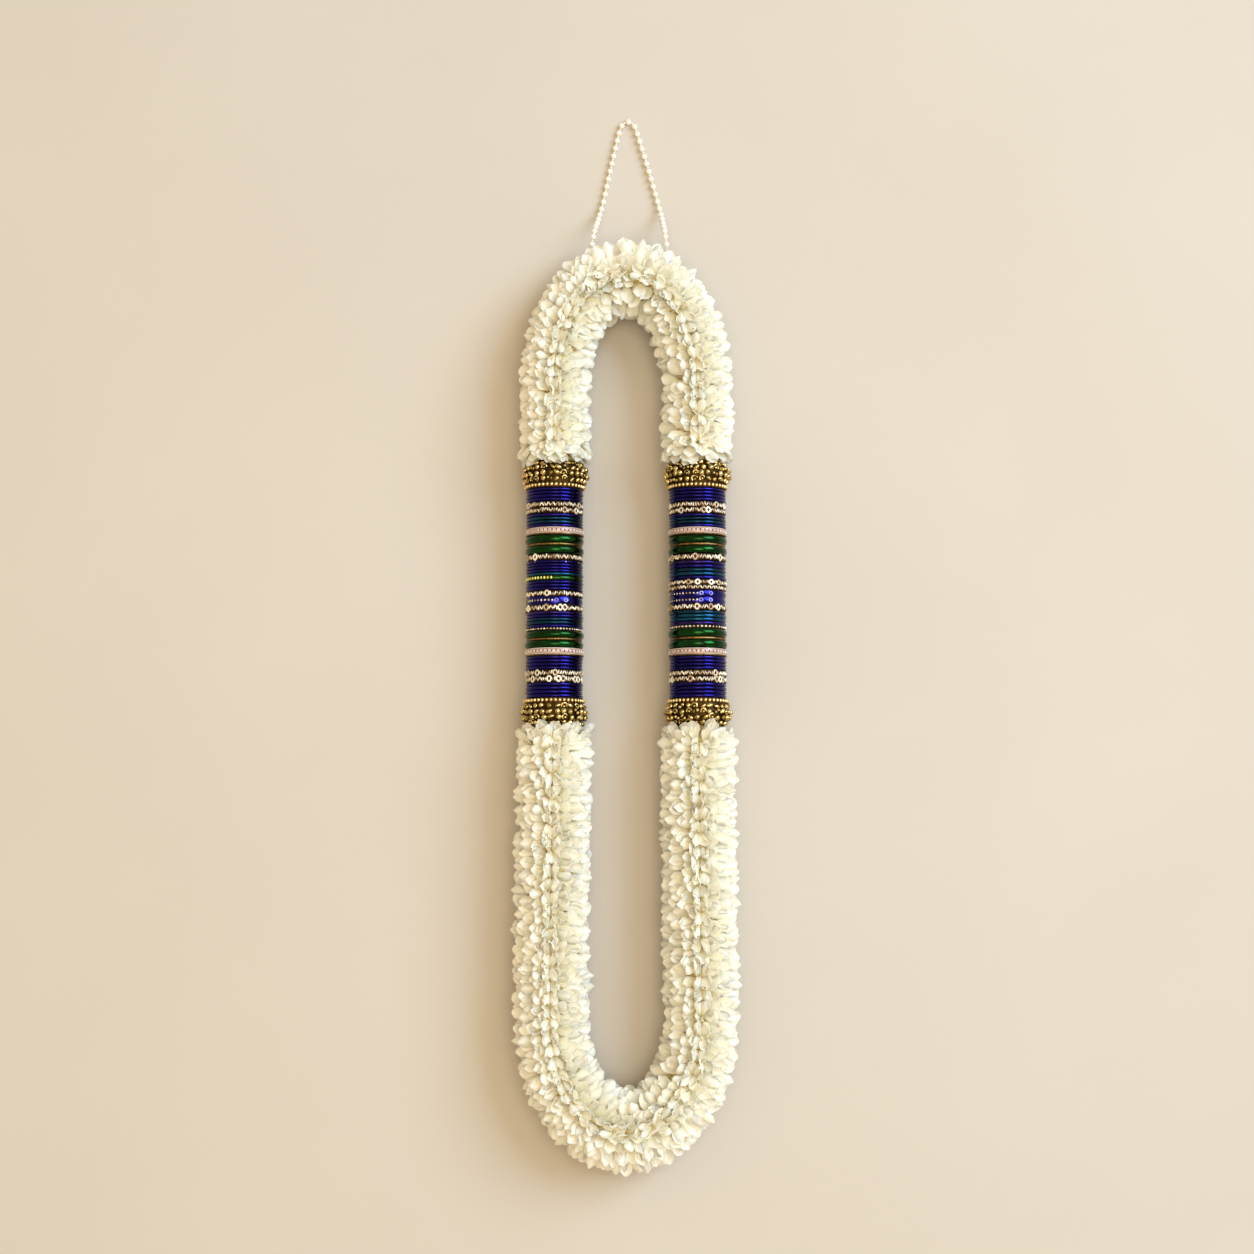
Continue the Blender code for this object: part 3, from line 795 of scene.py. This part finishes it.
def crowding(route, s, angle, radius):
    """How far a step along the rope takes a point at that radius, where the rope bends."""
    step = 0.002
    here, _, before, _ = around(route, s - step, angle)
    there, _, after, _ = around(route, s + step, angle)
    return float(np.linalg.norm(there + after * radius - here - before * radius)) / (2 * step)


def cap_lean(route, s):
    """The lean along the rope, towards the nearer cap."""
    to_cap = min(s, route.length - s)
    way = -1 if s < route.length / 2 else 1
    return way * CAP_LEAN * math.exp((SKIRT_LENGTH - to_cap) / LEAN_FADE)


def petal_column(pile, route, start, end, side, number, reach, draw):
    """One column: petals in an upper and a lower layer by turns."""
    column = PETAL_COLUMNS[number]
    angle = math.pi / 2 - side * math.radians(column[0])
    s = SKIRT_LENGTH + PETAL_PITCH * (0.25 * (number % 2) + 0.1)
    under = False
    while s < route.length - SKIRT_LENGTH:
        if start <= s < end:
            place = s + draw.gauss(0.0, PLACE_SPREAD)
            drop = UNDER_LAYER_DROP if under else 0.0
            tips = [each - drop + draw.gauss(0.0, TIP_SPREAD) for each in reach]
            lean = cap_lean(route, s) * (1 - SIDE_LEAN_LOSS * math.cos(angle) ** 2)
            column_petal(pile, route, place, side, column, lean, tips, draw)
        under = not under
        spread = crowding(route, s, angle, reach[0]) if number else 1.0
        s += PETAL_PITCH / 2 / max(LEAST_CROWDING, spread)


def stalk_ends_and_gap_shade(pile, route, s, draw):
    """The golden-brown ends of two or three stalks, seen between the petals of the middle line:
    partly the stalks' own colour, partly painted shade of the gaps there.
    """
    for _ in range(draw.choice((2, 3))):
        middle, along, outwards, about = around(route, s + draw.gauss(0.0, 0.0012), math.pi / 2)
        place = middle + outwards * STALK_SHADE_RADIUS + about * draw.uniform(-STALK_SHADE_SPREAD, STALK_SHADE_SPREAD)
        turn = draw.uniform(0.0, math.pi)
        axis = along * math.cos(turn) + about * math.sin(turn)
        axes = (np.cross(axis, outwards), axis, outwards)
        add_shape(pile, SMALL_BALL, place, axes, STALK_SHADE_SIZE, 2, draw.random())


def middle_petals(pile, route, start, end, draw):
    """Small petals that lie along the line nearest the viewer, in pairs that share a seam."""
    s = SKIRT_LENGTH + MIDDLE_START
    while s < route.length - SKIRT_LENGTH - MIDDLE_START:
        if start <= s < end:
            way = draw.choice((-1, 1))
            for side in (-1, 1):
                angle = math.pi / 2 - side * MIDDLE_ANGLE
                middle, along, outwards, about = around(route, s, angle)
                slant = -side * about * draw.uniform(*MIDDLE_SLANT)
                half = along * way * MIDDLE_LENGTH / 2
                root = middle + outwards * MIDDLE_ROOT - half
                tip = middle + outwards * MIDDLE_TIP + slant + half
                facing = outwards + side * about * 0.25
                petal_between(pile, root, tip, facing, MIDDLE_WIDTH, draw, pointed=0.2)
            stalk_ends_and_gap_shade(pile, route, s + MIDDLE_PITCH / 2, draw)
        s += MIDDLE_PITCH * draw.uniform(*MIDDLE_PITCH_RANGE)


def skirt(pile, route, end, way, draw):
    """Two rows of petals over the cap at that end of the route."""
    for row, (inside, tip_radius, length) in enumerate(SKIRT_ROWS):
        for j in range(SKIRT_ROUND):
            turn = j + 0.5 * row + draw.gauss(0.0, SKIRT_TURN_SPREAD)
            angle = turn * 2 * math.pi / SKIRT_ROUND
            set_back = SKIRT_SET_BACK * math.cos(angle) ** 2
            place = end - way * (inside + set_back + draw.gauss(0.0, SKIRT_PLACE_SPREAD))
            middle, along, outwards, about = around(route, place, angle)
            rise = room_above_floor(outwards, tip_radius) - SKIRT_ROOT
            forward = way * math.sqrt(max(0.0, length**2 - rise**2))
            aside = draw.gauss(0.0, SKIRT_TIP_SPREAD)
            root = middle + outwards * SKIRT_ROOT
            tip = root + outwards * rise + along * forward + about * aside
            petal_between(pile, root, tip, outwards, SKIRT_WIDTH, draw, twist=0.06, pointed=0.05)


def flower_core(pile, route, start, end):
    """The claws of the petals as one bumpy tube, seen only between the petals."""
    rows = max(4, int((end - start) / CORE_STEP))
    up = np.array([0.0, 0.0, 1.0])
    points = []
    for i in range(rows + 1):
        middle, _, out = route.frame(start + (end - start) * i / rows)
        for j in range(CORE_SIDES):
            turn = 2 * math.pi * j / CORE_SIDES
            radius = CORE_RADIUS * (1 + 0.04 * math.sin(5 * turn + i))
            points.append(middle + out * radius * math.cos(turn) + up * radius * math.sin(turn))
    pile.add(points, ring_faces(rows + 1, CORE_SIDES, False), 1)


def flower_length(name, route, start, end, reach, materials, seed):
    """The flowers of one length of the rope. Towards a cap they lean over it."""
    draw = random.Random(seed)
    pile = Pile()
    for number in range(len(PETAL_COLUMNS)):
        for side in (-1, 1):
            petal_column(pile, route, start, end, side, number, reach, draw)
    middle_petals(pile, route, start, end, draw)
    if start == 0.0:
        skirt(pile, route, 0.0, -1, draw)
    if end == route.length:
        skirt(pile, route, route.length, 1, draw)
    flower_core(pile, route, start, end)
    made = pile.build(f"petals_{name}", materials)
    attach(made, "root")
    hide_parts(name)
    return made


def flowers():
    # The stalks' golden brown is partly painted shade of the gaps along the middle line.
    stalk = plain_material("stalk_and_gap_shade", (0.26, 0.15, 0.02), (0.62, 0.44, 0.10), 0.6, 500.0)
    materials = [petal_material(), claws_and_shade_material(), stalk]
    lower = lower_route()
    lower_leg = float(lower.lengths[ROUTE_POINTS - 1])
    arch_leg = ARCH_CENTRE_Y - STACK_CENTRE_Y - FLOWER_END
    sides = ("left_leg", "left_side", "left_end", "right_end", "right_side", "right_leg")
    for label, route, leg, reach, seed in (
        ("arch", arch_route(), arch_leg, ARCH_REACH, 1370),
        ("bend", lower, lower_leg, LOWER_REACH, 1380),
    ):
        quarter = (route.length - 2 * leg) / 4
        cuts = [0.0, leg] + [leg + quarter * k for k in (1, 2, 3)]
        cuts += [route.length - leg, route.length]
        for number, side in enumerate(sides):
            start, end = cuts[number], cuts[number + 1]
            flower_length(f"{label}_{side}", route, start, end, reach, materials, seed + number)


# Bangles

def glass_ring(pile, x, low, high, slot, bulge=GLASS_BULGE, radius=BANGLE_RADIUS):
    """One round glass ring between two heights."""
    middle, half = (low + high) / 2, (high - low) / 2
    rows = []
    for k in range(GLASS_STEPS + 1):
        turn = math.pi * (k / GLASS_STEPS - 0.5)
        rows.append((middle + half * math.sin(turn), radius - bulge * (1 - math.cos(turn))))
    rows += [(high, BANGLE_INNER), (low, BANGLE_INNER)]
    add_turned(pile, x, rows, slot)


def flat_ring(pile, x, low, high, radius, slot):
    """A flat ring between two heights, its outer edges cut off."""
    edge = radius - RING_EDGE
    rows = [(low, edge), (low + RING_EDGE, radius), (high - RING_EDGE, radius), (high, edge)]
    add_turned(pile, x, rows + [(high, BANGLE_INNER), (low, BANGLE_INNER)], slot)


def glitter_ring(pile, x, low, high, slots, draw):
    """A dark band set with pale stones: rings, chevrons and pairs of beads."""
    base, stone = slots
    flat_ring(pile, x, low, high, BANGLE_RADIUS - GLITTER_DEPTH, base)
    middle, height = (low + high) / 2, high - low
    count = round(2 * math.pi * BANGLE_RADIUS / STONE_PITCH)
    phase = draw.random()
    for k in range(count):
        turn = 2 * math.pi * (k + phase) / count
        place, out, side = on_stack(x, middle, BANGLE_RADIUS - 0.0003, turn)
        kind = draw.random()
        if kind > RINGS_ABOVE:
            wide = (STONE_PITCH * 0.42, height * 0.42, height * 0.25)
            add_shape(pile, OPEN_RING, place, (side, STACK_WAY, out), wide, stone, draw.random())
            continue
        flip = draw.choice((-1, 1))
        for shift in (-1, 1):
            spot = place + side * shift * STONE_PITCH * 0.25
            tone = draw.random()
            if kind < CHEVRONS_BELOW:
                sizes = (STONE_PITCH * 0.19, height * 0.48, STONE_DEPTH)
                across, along = slanted(side, shift * flip * 0.5)
            else:
                sizes = (STONE_PITCH * 0.22, height * draw.uniform(0.32, 0.46), STONE_DEPTH)
                across, along = slanted(side, draw.uniform(-0.6, 0.6))
                spot = spot + STACK_WAY * draw.uniform(-0.12, 0.12) * height
            add_shape(pile, SMALL_BALL, spot, (across, along, out), sizes, stone, tone)


def band_ring(pile, x, low, high, slots, draw):
    """A broad band between silver edges, set with silver chevrons and dark dots. Its lowest
    part is a gold edge."""
    pale, gold, dot, silver = slots
    height = high - low
    edge = low + height * BAND_EDGE
    rail = height * BAND_RAIL
    face = BANGLE_RADIUS + 0.0001
    flat_ring(pile, x, edge, high, face, pale)
    flat_ring(pile, x, low, edge, BANGLE_RADIUS + 0.0004, gold)
    for foot in (edge, high - rail):
        flat_ring(pile, x, foot, foot + rail, BANGLE_RADIUS + 0.0006, silver)
    middle = (edge + high) / 2
    dot_size = (DOT_WIDTH, height * 0.18, TRIM_DEPTH)
    chevron_size = (CHEVRON_WIDTH, height * 0.31, TRIM_DEPTH)
    for k in range(BAND_DOTS):
        turn = 2 * math.pi * k / BAND_DOTS
        set_on_stack(pile, SMALL_BALL, (x, middle, face, turn), dot_size, dot, draw.random())
        for shift in (-1, 1):
            turning = turn + (0.5 + 0.2 * shift) * 2 * math.pi / BAND_DOTS
            spot = (x, middle, BANGLE_RADIUS + 0.0002, turning)
            tone = draw.random()
            set_on_stack(pile, SMALL_BALL, spot, chevron_size, silver, tone, shift * 0.4)


def faceted_ring(pile, x, low, high, slots, draw):
    """A dark band cut in lozenges, with gold flakes on its left and, on its right, small bright
    blue rings that are painted highlights.
    """
    glass, stone, painted_highlight = slots
    middle, height = (low + high) / 2, high - low
    rows = (
        (low, BANGLE_RADIUS - FACET_DEPTH),
        (middle, BANGLE_RADIUS + 0.0001),
        (high, BANGLE_RADIUS - FACET_DEPTH),
        (high, BANGLE_INNER),
        (low, BANGLE_INNER),
    )
    points = []
    for k in range(FACETS):
        for row, (y, radius) in enumerate(rows):
            turn = 2 * math.pi * (k + (0.5 if row == 1 else 0.0)) / FACETS
            points.append(on_stack(x, y, radius, turn)[0])
    pile.add(points, ring_faces(FACETS, len(rows), True), glass)
    for turn in FLAKES:
        spot = (x, middle, BANGLE_RADIUS - 0.0001, math.radians(turn))
        sizes = (FLAKE_WIDTH, height * draw.uniform(0.12, 0.2), 0.0004)
        set_on_stack(pile, SMALL_BALL, spot, sizes, stone, draw.random())
    for turn in FACET_HIGHLIGHTS:
        spot = (x, middle, BANGLE_RADIUS - 0.0002, math.radians(turn))
        set_on_stack(pile, OPEN_RING, spot, FACET_HIGHLIGHT_SIZE, painted_highlight, draw.random())


def beaded_ring(pile, x, low, high, slots, draw):
    """A fine line of gold and white beads."""
    ground, bead = slots
    radius = (high - low) / 2
    count = int(2 * math.pi * BANGLE_RADIUS / (radius * BEAD_SPACING))
    for k in range(count):
        spot = (x, (low + high) / 2, BANGLE_RADIUS - radius, 2 * math.pi * k / count)
        sizes = (radius * draw.uniform(0.8, 1.4), radius, radius)
        set_on_stack(pile, SMALL_BALL, spot, sizes, bead, draw.random())
    flat_ring(pile, x, low, high, BANGLE_RADIUS - 1.1 * radius, ground)


def lime_ring(pile, x, low, high, slots, draw):
    """Green glass, its left half set with yellow-gold glitter."""
    glass, stone = slots
    glass_ring(pile, x, low, high, glass, LIME_BULGE)
    sizes = (LIME_STONE_WIDTH, (high - low) * 0.38, 0.0006)
    for turn in LIME_STONES:
        spot = (x, (low + high) / 2, BANGLE_RADIUS - 0.0002, math.radians(turn))
        set_on_stack(pile, SMALL_BALL, spot, sizes, stone, draw.random())


def speckled_ring(pile, x, low, high, slots, draw):
    """Blue glass with a few pale specks."""
    glass, stone = slots
    glass_ring(pile, x, low, high, glass)
    for _ in range(SPECKS):
        turn = draw.uniform(0, 2 * math.pi)
        spot = (x, (low + high) / 2, BANGLE_RADIUS - 0.0001, turn)
        set_on_stack(pile, SMALL_BALL, spot, SPECK_SIZE, stone, draw.random())


# The bangles' materials: name, maker, two colours and, where it has its own, a roughness.
BANGLE_FINISHES = (
    ("glass_blue", glass_material, (0.004, 0.0018, 0.078), (0.009, 0.005, 0.20)),
    ("glass_violet", glass_material, (0.012, 0.004, 0.07), (0.035, 0.014, 0.20)),
    ("glass_teal", glass_material, (0.001, 0.014, 0.050), (0.003, 0.055, 0.12)),
    ("glass_cyan", glass_material, (0.001, 0.030, 0.10), (0.006, 0.10, 0.20)),
    ("glass_green", glass_material, (0.0008, 0.016, 0.001), (0.0015, 0.065, 0.008)),
    ("glass_lime", glass_material, (0.004, 0.035, 0.005), (0.02, 0.10, 0.012)),
    ("gold_line", metal_material, (0.10, 0.055, 0.018), (0.32, 0.20, 0.08), 0.35),
    ("dark_base", metal_material, (0.015, 0.008, 0.006), (0.06, 0.03, 0.02), 0.4),
    ("cream_stone", stone_material, (0.30, 0.17, 0.07), (1.0, 0.94, 0.82)),
    ("yellow_stone", stone_material, (0.60, 0.52, 0.04), (0.92, 0.88, 0.30)),
    ("pale_band", stone_material, (0.24, 0.13, 0.12), (0.44, 0.29, 0.27), 0.3),
    ("red_dot", stone_material, (0.08, 0.008, 0.015), (0.24, 0.04, 0.06)),
    # Painted highlight: the bright blue of the faceted band's small rings.
    ("blue_stone", stone_material, (0.05, 0.05, 0.50), (0.30, 0.32, 0.95)),
    ("silver", stone_material, (0.62, 0.50, 0.47), (0.92, 0.84, 0.81), 0.22),
)
# The rings with trim: what makes them, then their finishes.
TRIMMED_RINGS = {
    "glitter": (glitter_ring, "dark_base", "cream_stone"),
    "band": (band_ring, "pale_band", "gold_line", "red_dot", "silver"),
    "faceted": (faceted_ring, "glass_blue", "cream_stone", "blue_stone"),
    "beaded": (beaded_ring, "dark_base", "cream_stone"),
    "lime": (lime_ring, "glass_lime", "yellow_stone"),
    "speckled": (speckled_ring, "glass_blue", "cream_stone"),
}


def slot_of(finish):
    return [name for name, *_ in BANGLE_FINISHES].index(finish)


def one_ring(pile, x, low, high, kind, draw):
    """Adds the ring of that kind between two heights, a little off the stack's middle."""
    x += draw.uniform(-RING_WANDER, RING_WANDER)
    if kind in TRIMMED_RINGS:
        make, *finishes = TRIMMED_RINGS[kind]
        make(pile, x, low, high, [slot_of(finish) for finish in finishes], draw)
    elif kind == "line":
        flat_ring(pile, x, low, high, BANGLE_RADIUS - LINE_DEPTH, slot_of("gold_line"))
    elif kind == "green":
        glass_ring(pile, x, low, high, slot_of("glass_green"), GREEN_BULGE, GREEN_RADIUS)
    else:
        glass_ring(pile, x, low, high, slot_of(f"glass_{kind}"))


def ring_shares(kinds):
    """How much of the set's length each ring takes."""
    if "line" in kinds:
        rest = (1 - LINE_SHARE) / 2
        return [LINE_SHARE if kind == "line" else rest for kind in kinds]
    return [1 / len(kinds)] * len(kinds)


def bangles():
    materials = [make(name, *values) for name, make, *values in BANGLE_FINISHES]
    for side, rings in (("left", LEFT_RINGS), ("right", RIGHT_RINGS)):
        prefix = f"{side}_bangles_"
        nodes = sorted(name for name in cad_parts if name.startswith(prefix))
        for node, kinds in zip(nodes, rings):
            draw = random.Random(node)
            low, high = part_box(node)
            x = (low[0] + high[0]) / 2
            pile = Pile()
            top = high[1]
            for kind, share in zip(kinds, ring_shares(kinds)):
                bottom = top - share * (high[1] - low[1])
                one_ring(pile, x, bottom, top, kind, draw)
                top = bottom
            made = pile.build(f"rings_{node}", materials)
            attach(made, "root")
            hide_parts(node)


# Caps

def cap_body(pile, x, foot, way):
    """The dark ground that the beads sit on."""
    ground = [(along, radius - CAP_GROUND_DEPTH) for along, radius in CAP_ROWS]
    corners = [(0.0, BANGLE_INNER), *CAP_FOOT, *ground, CAP_END, (CAP_END[0], BANGLE_INNER)]
    rows = [(foot + way * along, radius) for along, radius in corners]
    add_turned(pile, x, rows, 1, CAP_STEPS)


def cap_rim(pile, x, foot, way):
    """The ball beads between the cap and the bangles, on their ground."""
    low, high = sorted(foot + way * along for along in RIM_GROUND)
    flat_ring(pile, x, low, high, RIM_RADIUS - RIM_GROUND_DEPTH, 3)
    for k in range(RIM_BEADS):
        spot = (x, foot + way * RIM_OFFSET, RIM_RADIUS, 2 * math.pi * k / RIM_BEADS)
        set_on_stack(pile, BALL, spot, RIM_BEAD, 2, 0.5)


def cap_bead(pile, spot, draw):
    """One of the cap's ornaments: a ball, a slanted grain, an arch, or a pair of seeds."""
    place, out, side = on_stack(*spot)
    kind = draw.random()
    size = CAP_BEAD * draw.uniform(*CAP_BEAD_RANGE)
    across, along = slanted(side, draw.uniform(-CAP_SLANT, CAP_SLANT))
    tone = draw.random()

    def put(shape, middle, *shares):
        sizes = [size * share for share in shares]
        add_shape(pile, shape, middle, (across, along, out), sizes, 0, tone)

    balls, grains, arches = CAP_LIMITS
    if kind < balls:
        put(BALL, place, 1.0, 1.0, 1.0)
    elif kind < grains:
        put(BALL, place, 1.35, 0.72, 0.9)
    elif kind < arches:
        put(ARCH, place, 1.35, 1.35, 1.5)
        put(SMALL_BALL, place - along * size * 0.2, 0.5, 0.5, 0.5)
    else:
        for shift in (-0.65, 0.65):
            put(BALL, place + across * size * shift, 0.6, 0.66, 0.75)


def cap_ornaments(pile, x, foot, way, draw):
    """The rows of ornaments round the cap, each half a pitch on from the one before."""
    for row, (along, radius) in enumerate(CAP_ROWS):
        count = round(2 * math.pi * radius / CAP_PITCH)
        for k in range(count):
            wander = draw.uniform(-CAP_TURN_WANDER, CAP_TURN_WANDER)
            turn = 2 * math.pi * (k + 0.5 * (row % 2) + wander) / count
            y = foot + way * (along + draw.uniform(-CAP_WANDER, CAP_WANDER))
            cap_bead(pile, (x, y, radius, turn), draw)


def caps():
    materials = [
        metal_material("antique_gold", (0.20, 0.125, 0.025), (0.88, 0.69, 0.33), 0.15, 160.0),
        metal_material("cap_ground", (0.02, 0.012, 0.004), (0.07, 0.04, 0.012), 0.5),
        metal_material("rim_gold", (0.72, 0.50, 0.18), (0.98, 0.82, 0.46), 0.28, 260.0),
        metal_material("rim_ground", (0.06, 0.02, 0.008), (0.16, 0.06, 0.02), 0.5),
    ]
    for side in ("left", "right"):
        for end, way in (("upper", 1), ("lower", -1)):
            node = f"{side}_{end}_cap"
            draw = random.Random(node)
            low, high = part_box(node)
            x = (low[0] + high[0]) / 2
            foot = low[1] if way > 0 else high[1]
            pile = Pile()
            cap_body(pile, x, foot, way)
            cap_rim(pile, x, foot, way)
            cap_ornaments(pile, x, foot, way, draw)
            made = pile.build(f"beads_{node}", materials)
            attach(made, "root")
            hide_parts(node)


# Pearls

def smooth_route(points, steps):
    """A smooth line through the points: each of them is followed by steps - 1 new ones."""
    given = [Vector(p) for p in points]
    ends = [2 * given[0] - given[1]] + given + [2 * given[-1] - given[-2]]
    line = []
    for i in range(1, len(ends) - 2):
        a, b, c, d = ends[i - 1 : i + 3]
        for step in range(steps):
            t = step / steps
            pull = (c - a) * t + (2 * a - 5 * b + 4 * c - d) * t**2
            pull += (3 * b - a - 3 * c + d) * t**3
            line.append(b + pull / 2)
    line.append(given[-1])
    return line


def thread_curve(line):
    curve = bpy.data.curves.new("strand_thread", "CURVE")
    curve.dimensions = "3D"
    curve.bevel_depth = THREAD_DIAMETER / 2
    curve.bevel_resolution = 2
    curve.use_fill_caps = True
    spline = curve.splines.new("POLY")
    spline.points.add(len(line) - 1)
    for point, place in zip(spline.points, line):
        point.co = (*place, 1.0)
    cotton = plain_material("thread", (0.70, 0.66, 0.56), (0.85, 0.82, 0.74), 0.6, 900.0)
    curve.materials.append(cotton)
    return new_object("strand_thread", curve)


def pearls():
    line = smooth_route(STRAND_ROUTE, ROUTE_STEPS)[ROUTE_STEPS:-ROUTE_STEPS]
    steps = [0.0]
    for a, b in zip(line, line[1:]):
        steps.append(steps[-1] + (b - a).length)
    thread = thread_curve(line)
    places = np.array([tuple(p) for p in line])
    start = steps[(FIRST_EXIT - 1) * ROUTE_STEPS] - PEARLS_INSIDE
    end = steps[(LAST_EXIT - 1) * ROUTE_STEPS] + PEARLS_INSIDE
    count = int((end - start) / PEARL_PITCH)
    pile = Pile()
    for k in range(2 * count - 1):
        s = start + (end - start) * (0.5 * k + 0.5) / count
        place = np.array([np.interp(s, steps, places[:, axis]) for axis in range(3)])
        if k % 2:
            radius, shape, slot = SPACER_RADIUS, BALL, 1
        else:
            radius, shape, slot = PEARL_RADIUS, FINE_BALL, 0
        add_shape(pile, shape, place, np.eye(3), (radius, radius, radius), slot, 0.5)
    spacer = stone_material("spacer_bead", (0.80, 0.72, 0.54), (0.92, 0.86, 0.74), 0.25)
    beads = pile.build("strand_pearls", [pearl_material(), spacer])
    for piece in (thread, beads):
        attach(piece, "root")
    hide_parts("pearl_strand")


# Hidden inner pieces

def inner_pieces():
    rope = plain_material("cotton_rope", (0.50, 0.44, 0.32), (0.74, 0.68, 0.54), 0.9, 700.0)
    former = plain_material("card_tube", (0.46, 0.38, 0.28), (0.62, 0.54, 0.42), 0.85, 200.0)
    for name, made in (("core_rope", rope), ("left_former", former), ("right_former", former)):
        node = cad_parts[name]
        for slot in node.material_slots:
            slot.material = made


# Floor, light and camera

def floor():
    bm = bmesh.new()
    bmesh.ops.create_grid(bm, x_segments=1, y_segments=1, size=FLOOR_SIZE)
    mesh = bpy.data.meshes.new("floor")
    bm.to_mesh(mesh)
    bm.free()
    mesh.materials.append(floor_material())
    obj = new_object("floor", mesh)


def area_light(name, place, side, power, colour):
    lamp = bpy.data.lights.new(name, "AREA")
    lamp.shape = "RECTANGLE"
    lamp.size = lamp.size_y = side
    lamp.energy = power
    lamp.color = colour
    obj = new_object(name, lamp)
    obj.location = place
    aim = Vector(LAMP_TARGET) - Vector(place)
    obj.rotation_euler = aim.to_track_quat("-Z", "Y").to_euler()


def lights():
    for lamp in LAMPS:
        area_light(*lamp)
    world = bpy.data.worlds.new("studio")
    world.use_nodes = True
    background = world.node_tree.nodes["Background"]
    set_values(background, {"Color": SKY_COLOUR, "Strength": SKY_STRENGTH})
    scene = bpy.context.scene
    scene.world = world
    scene.view_settings.view_transform = "Standard"


def camera():
    made = bpy.data.cameras.new("camera")
    made.sensor_width = SENSOR_MM
    made.lens = SENSOR_MM * FOCAL_LENGTH_IN_PIXELS / PHOTO_SIDE
    made.clip_end = 50.0
    back = (Vector(CAMERA_AT) - Vector(CAMERA_TARGET)).normalized()
    right = Vector(CAMERA_UP).cross(back).normalized()
    turn = Matrix((right, back.cross(right), back)).transposed().to_4x4()
    obj = new_object("camera", made)
    obj.matrix_world = Matrix.Translation(CAMERA_AT) @ turn
    bpy.context.scene.camera = obj


camera()
pearls()
flowers()
bangles()
caps()
inner_pieces()
floor()
lights()
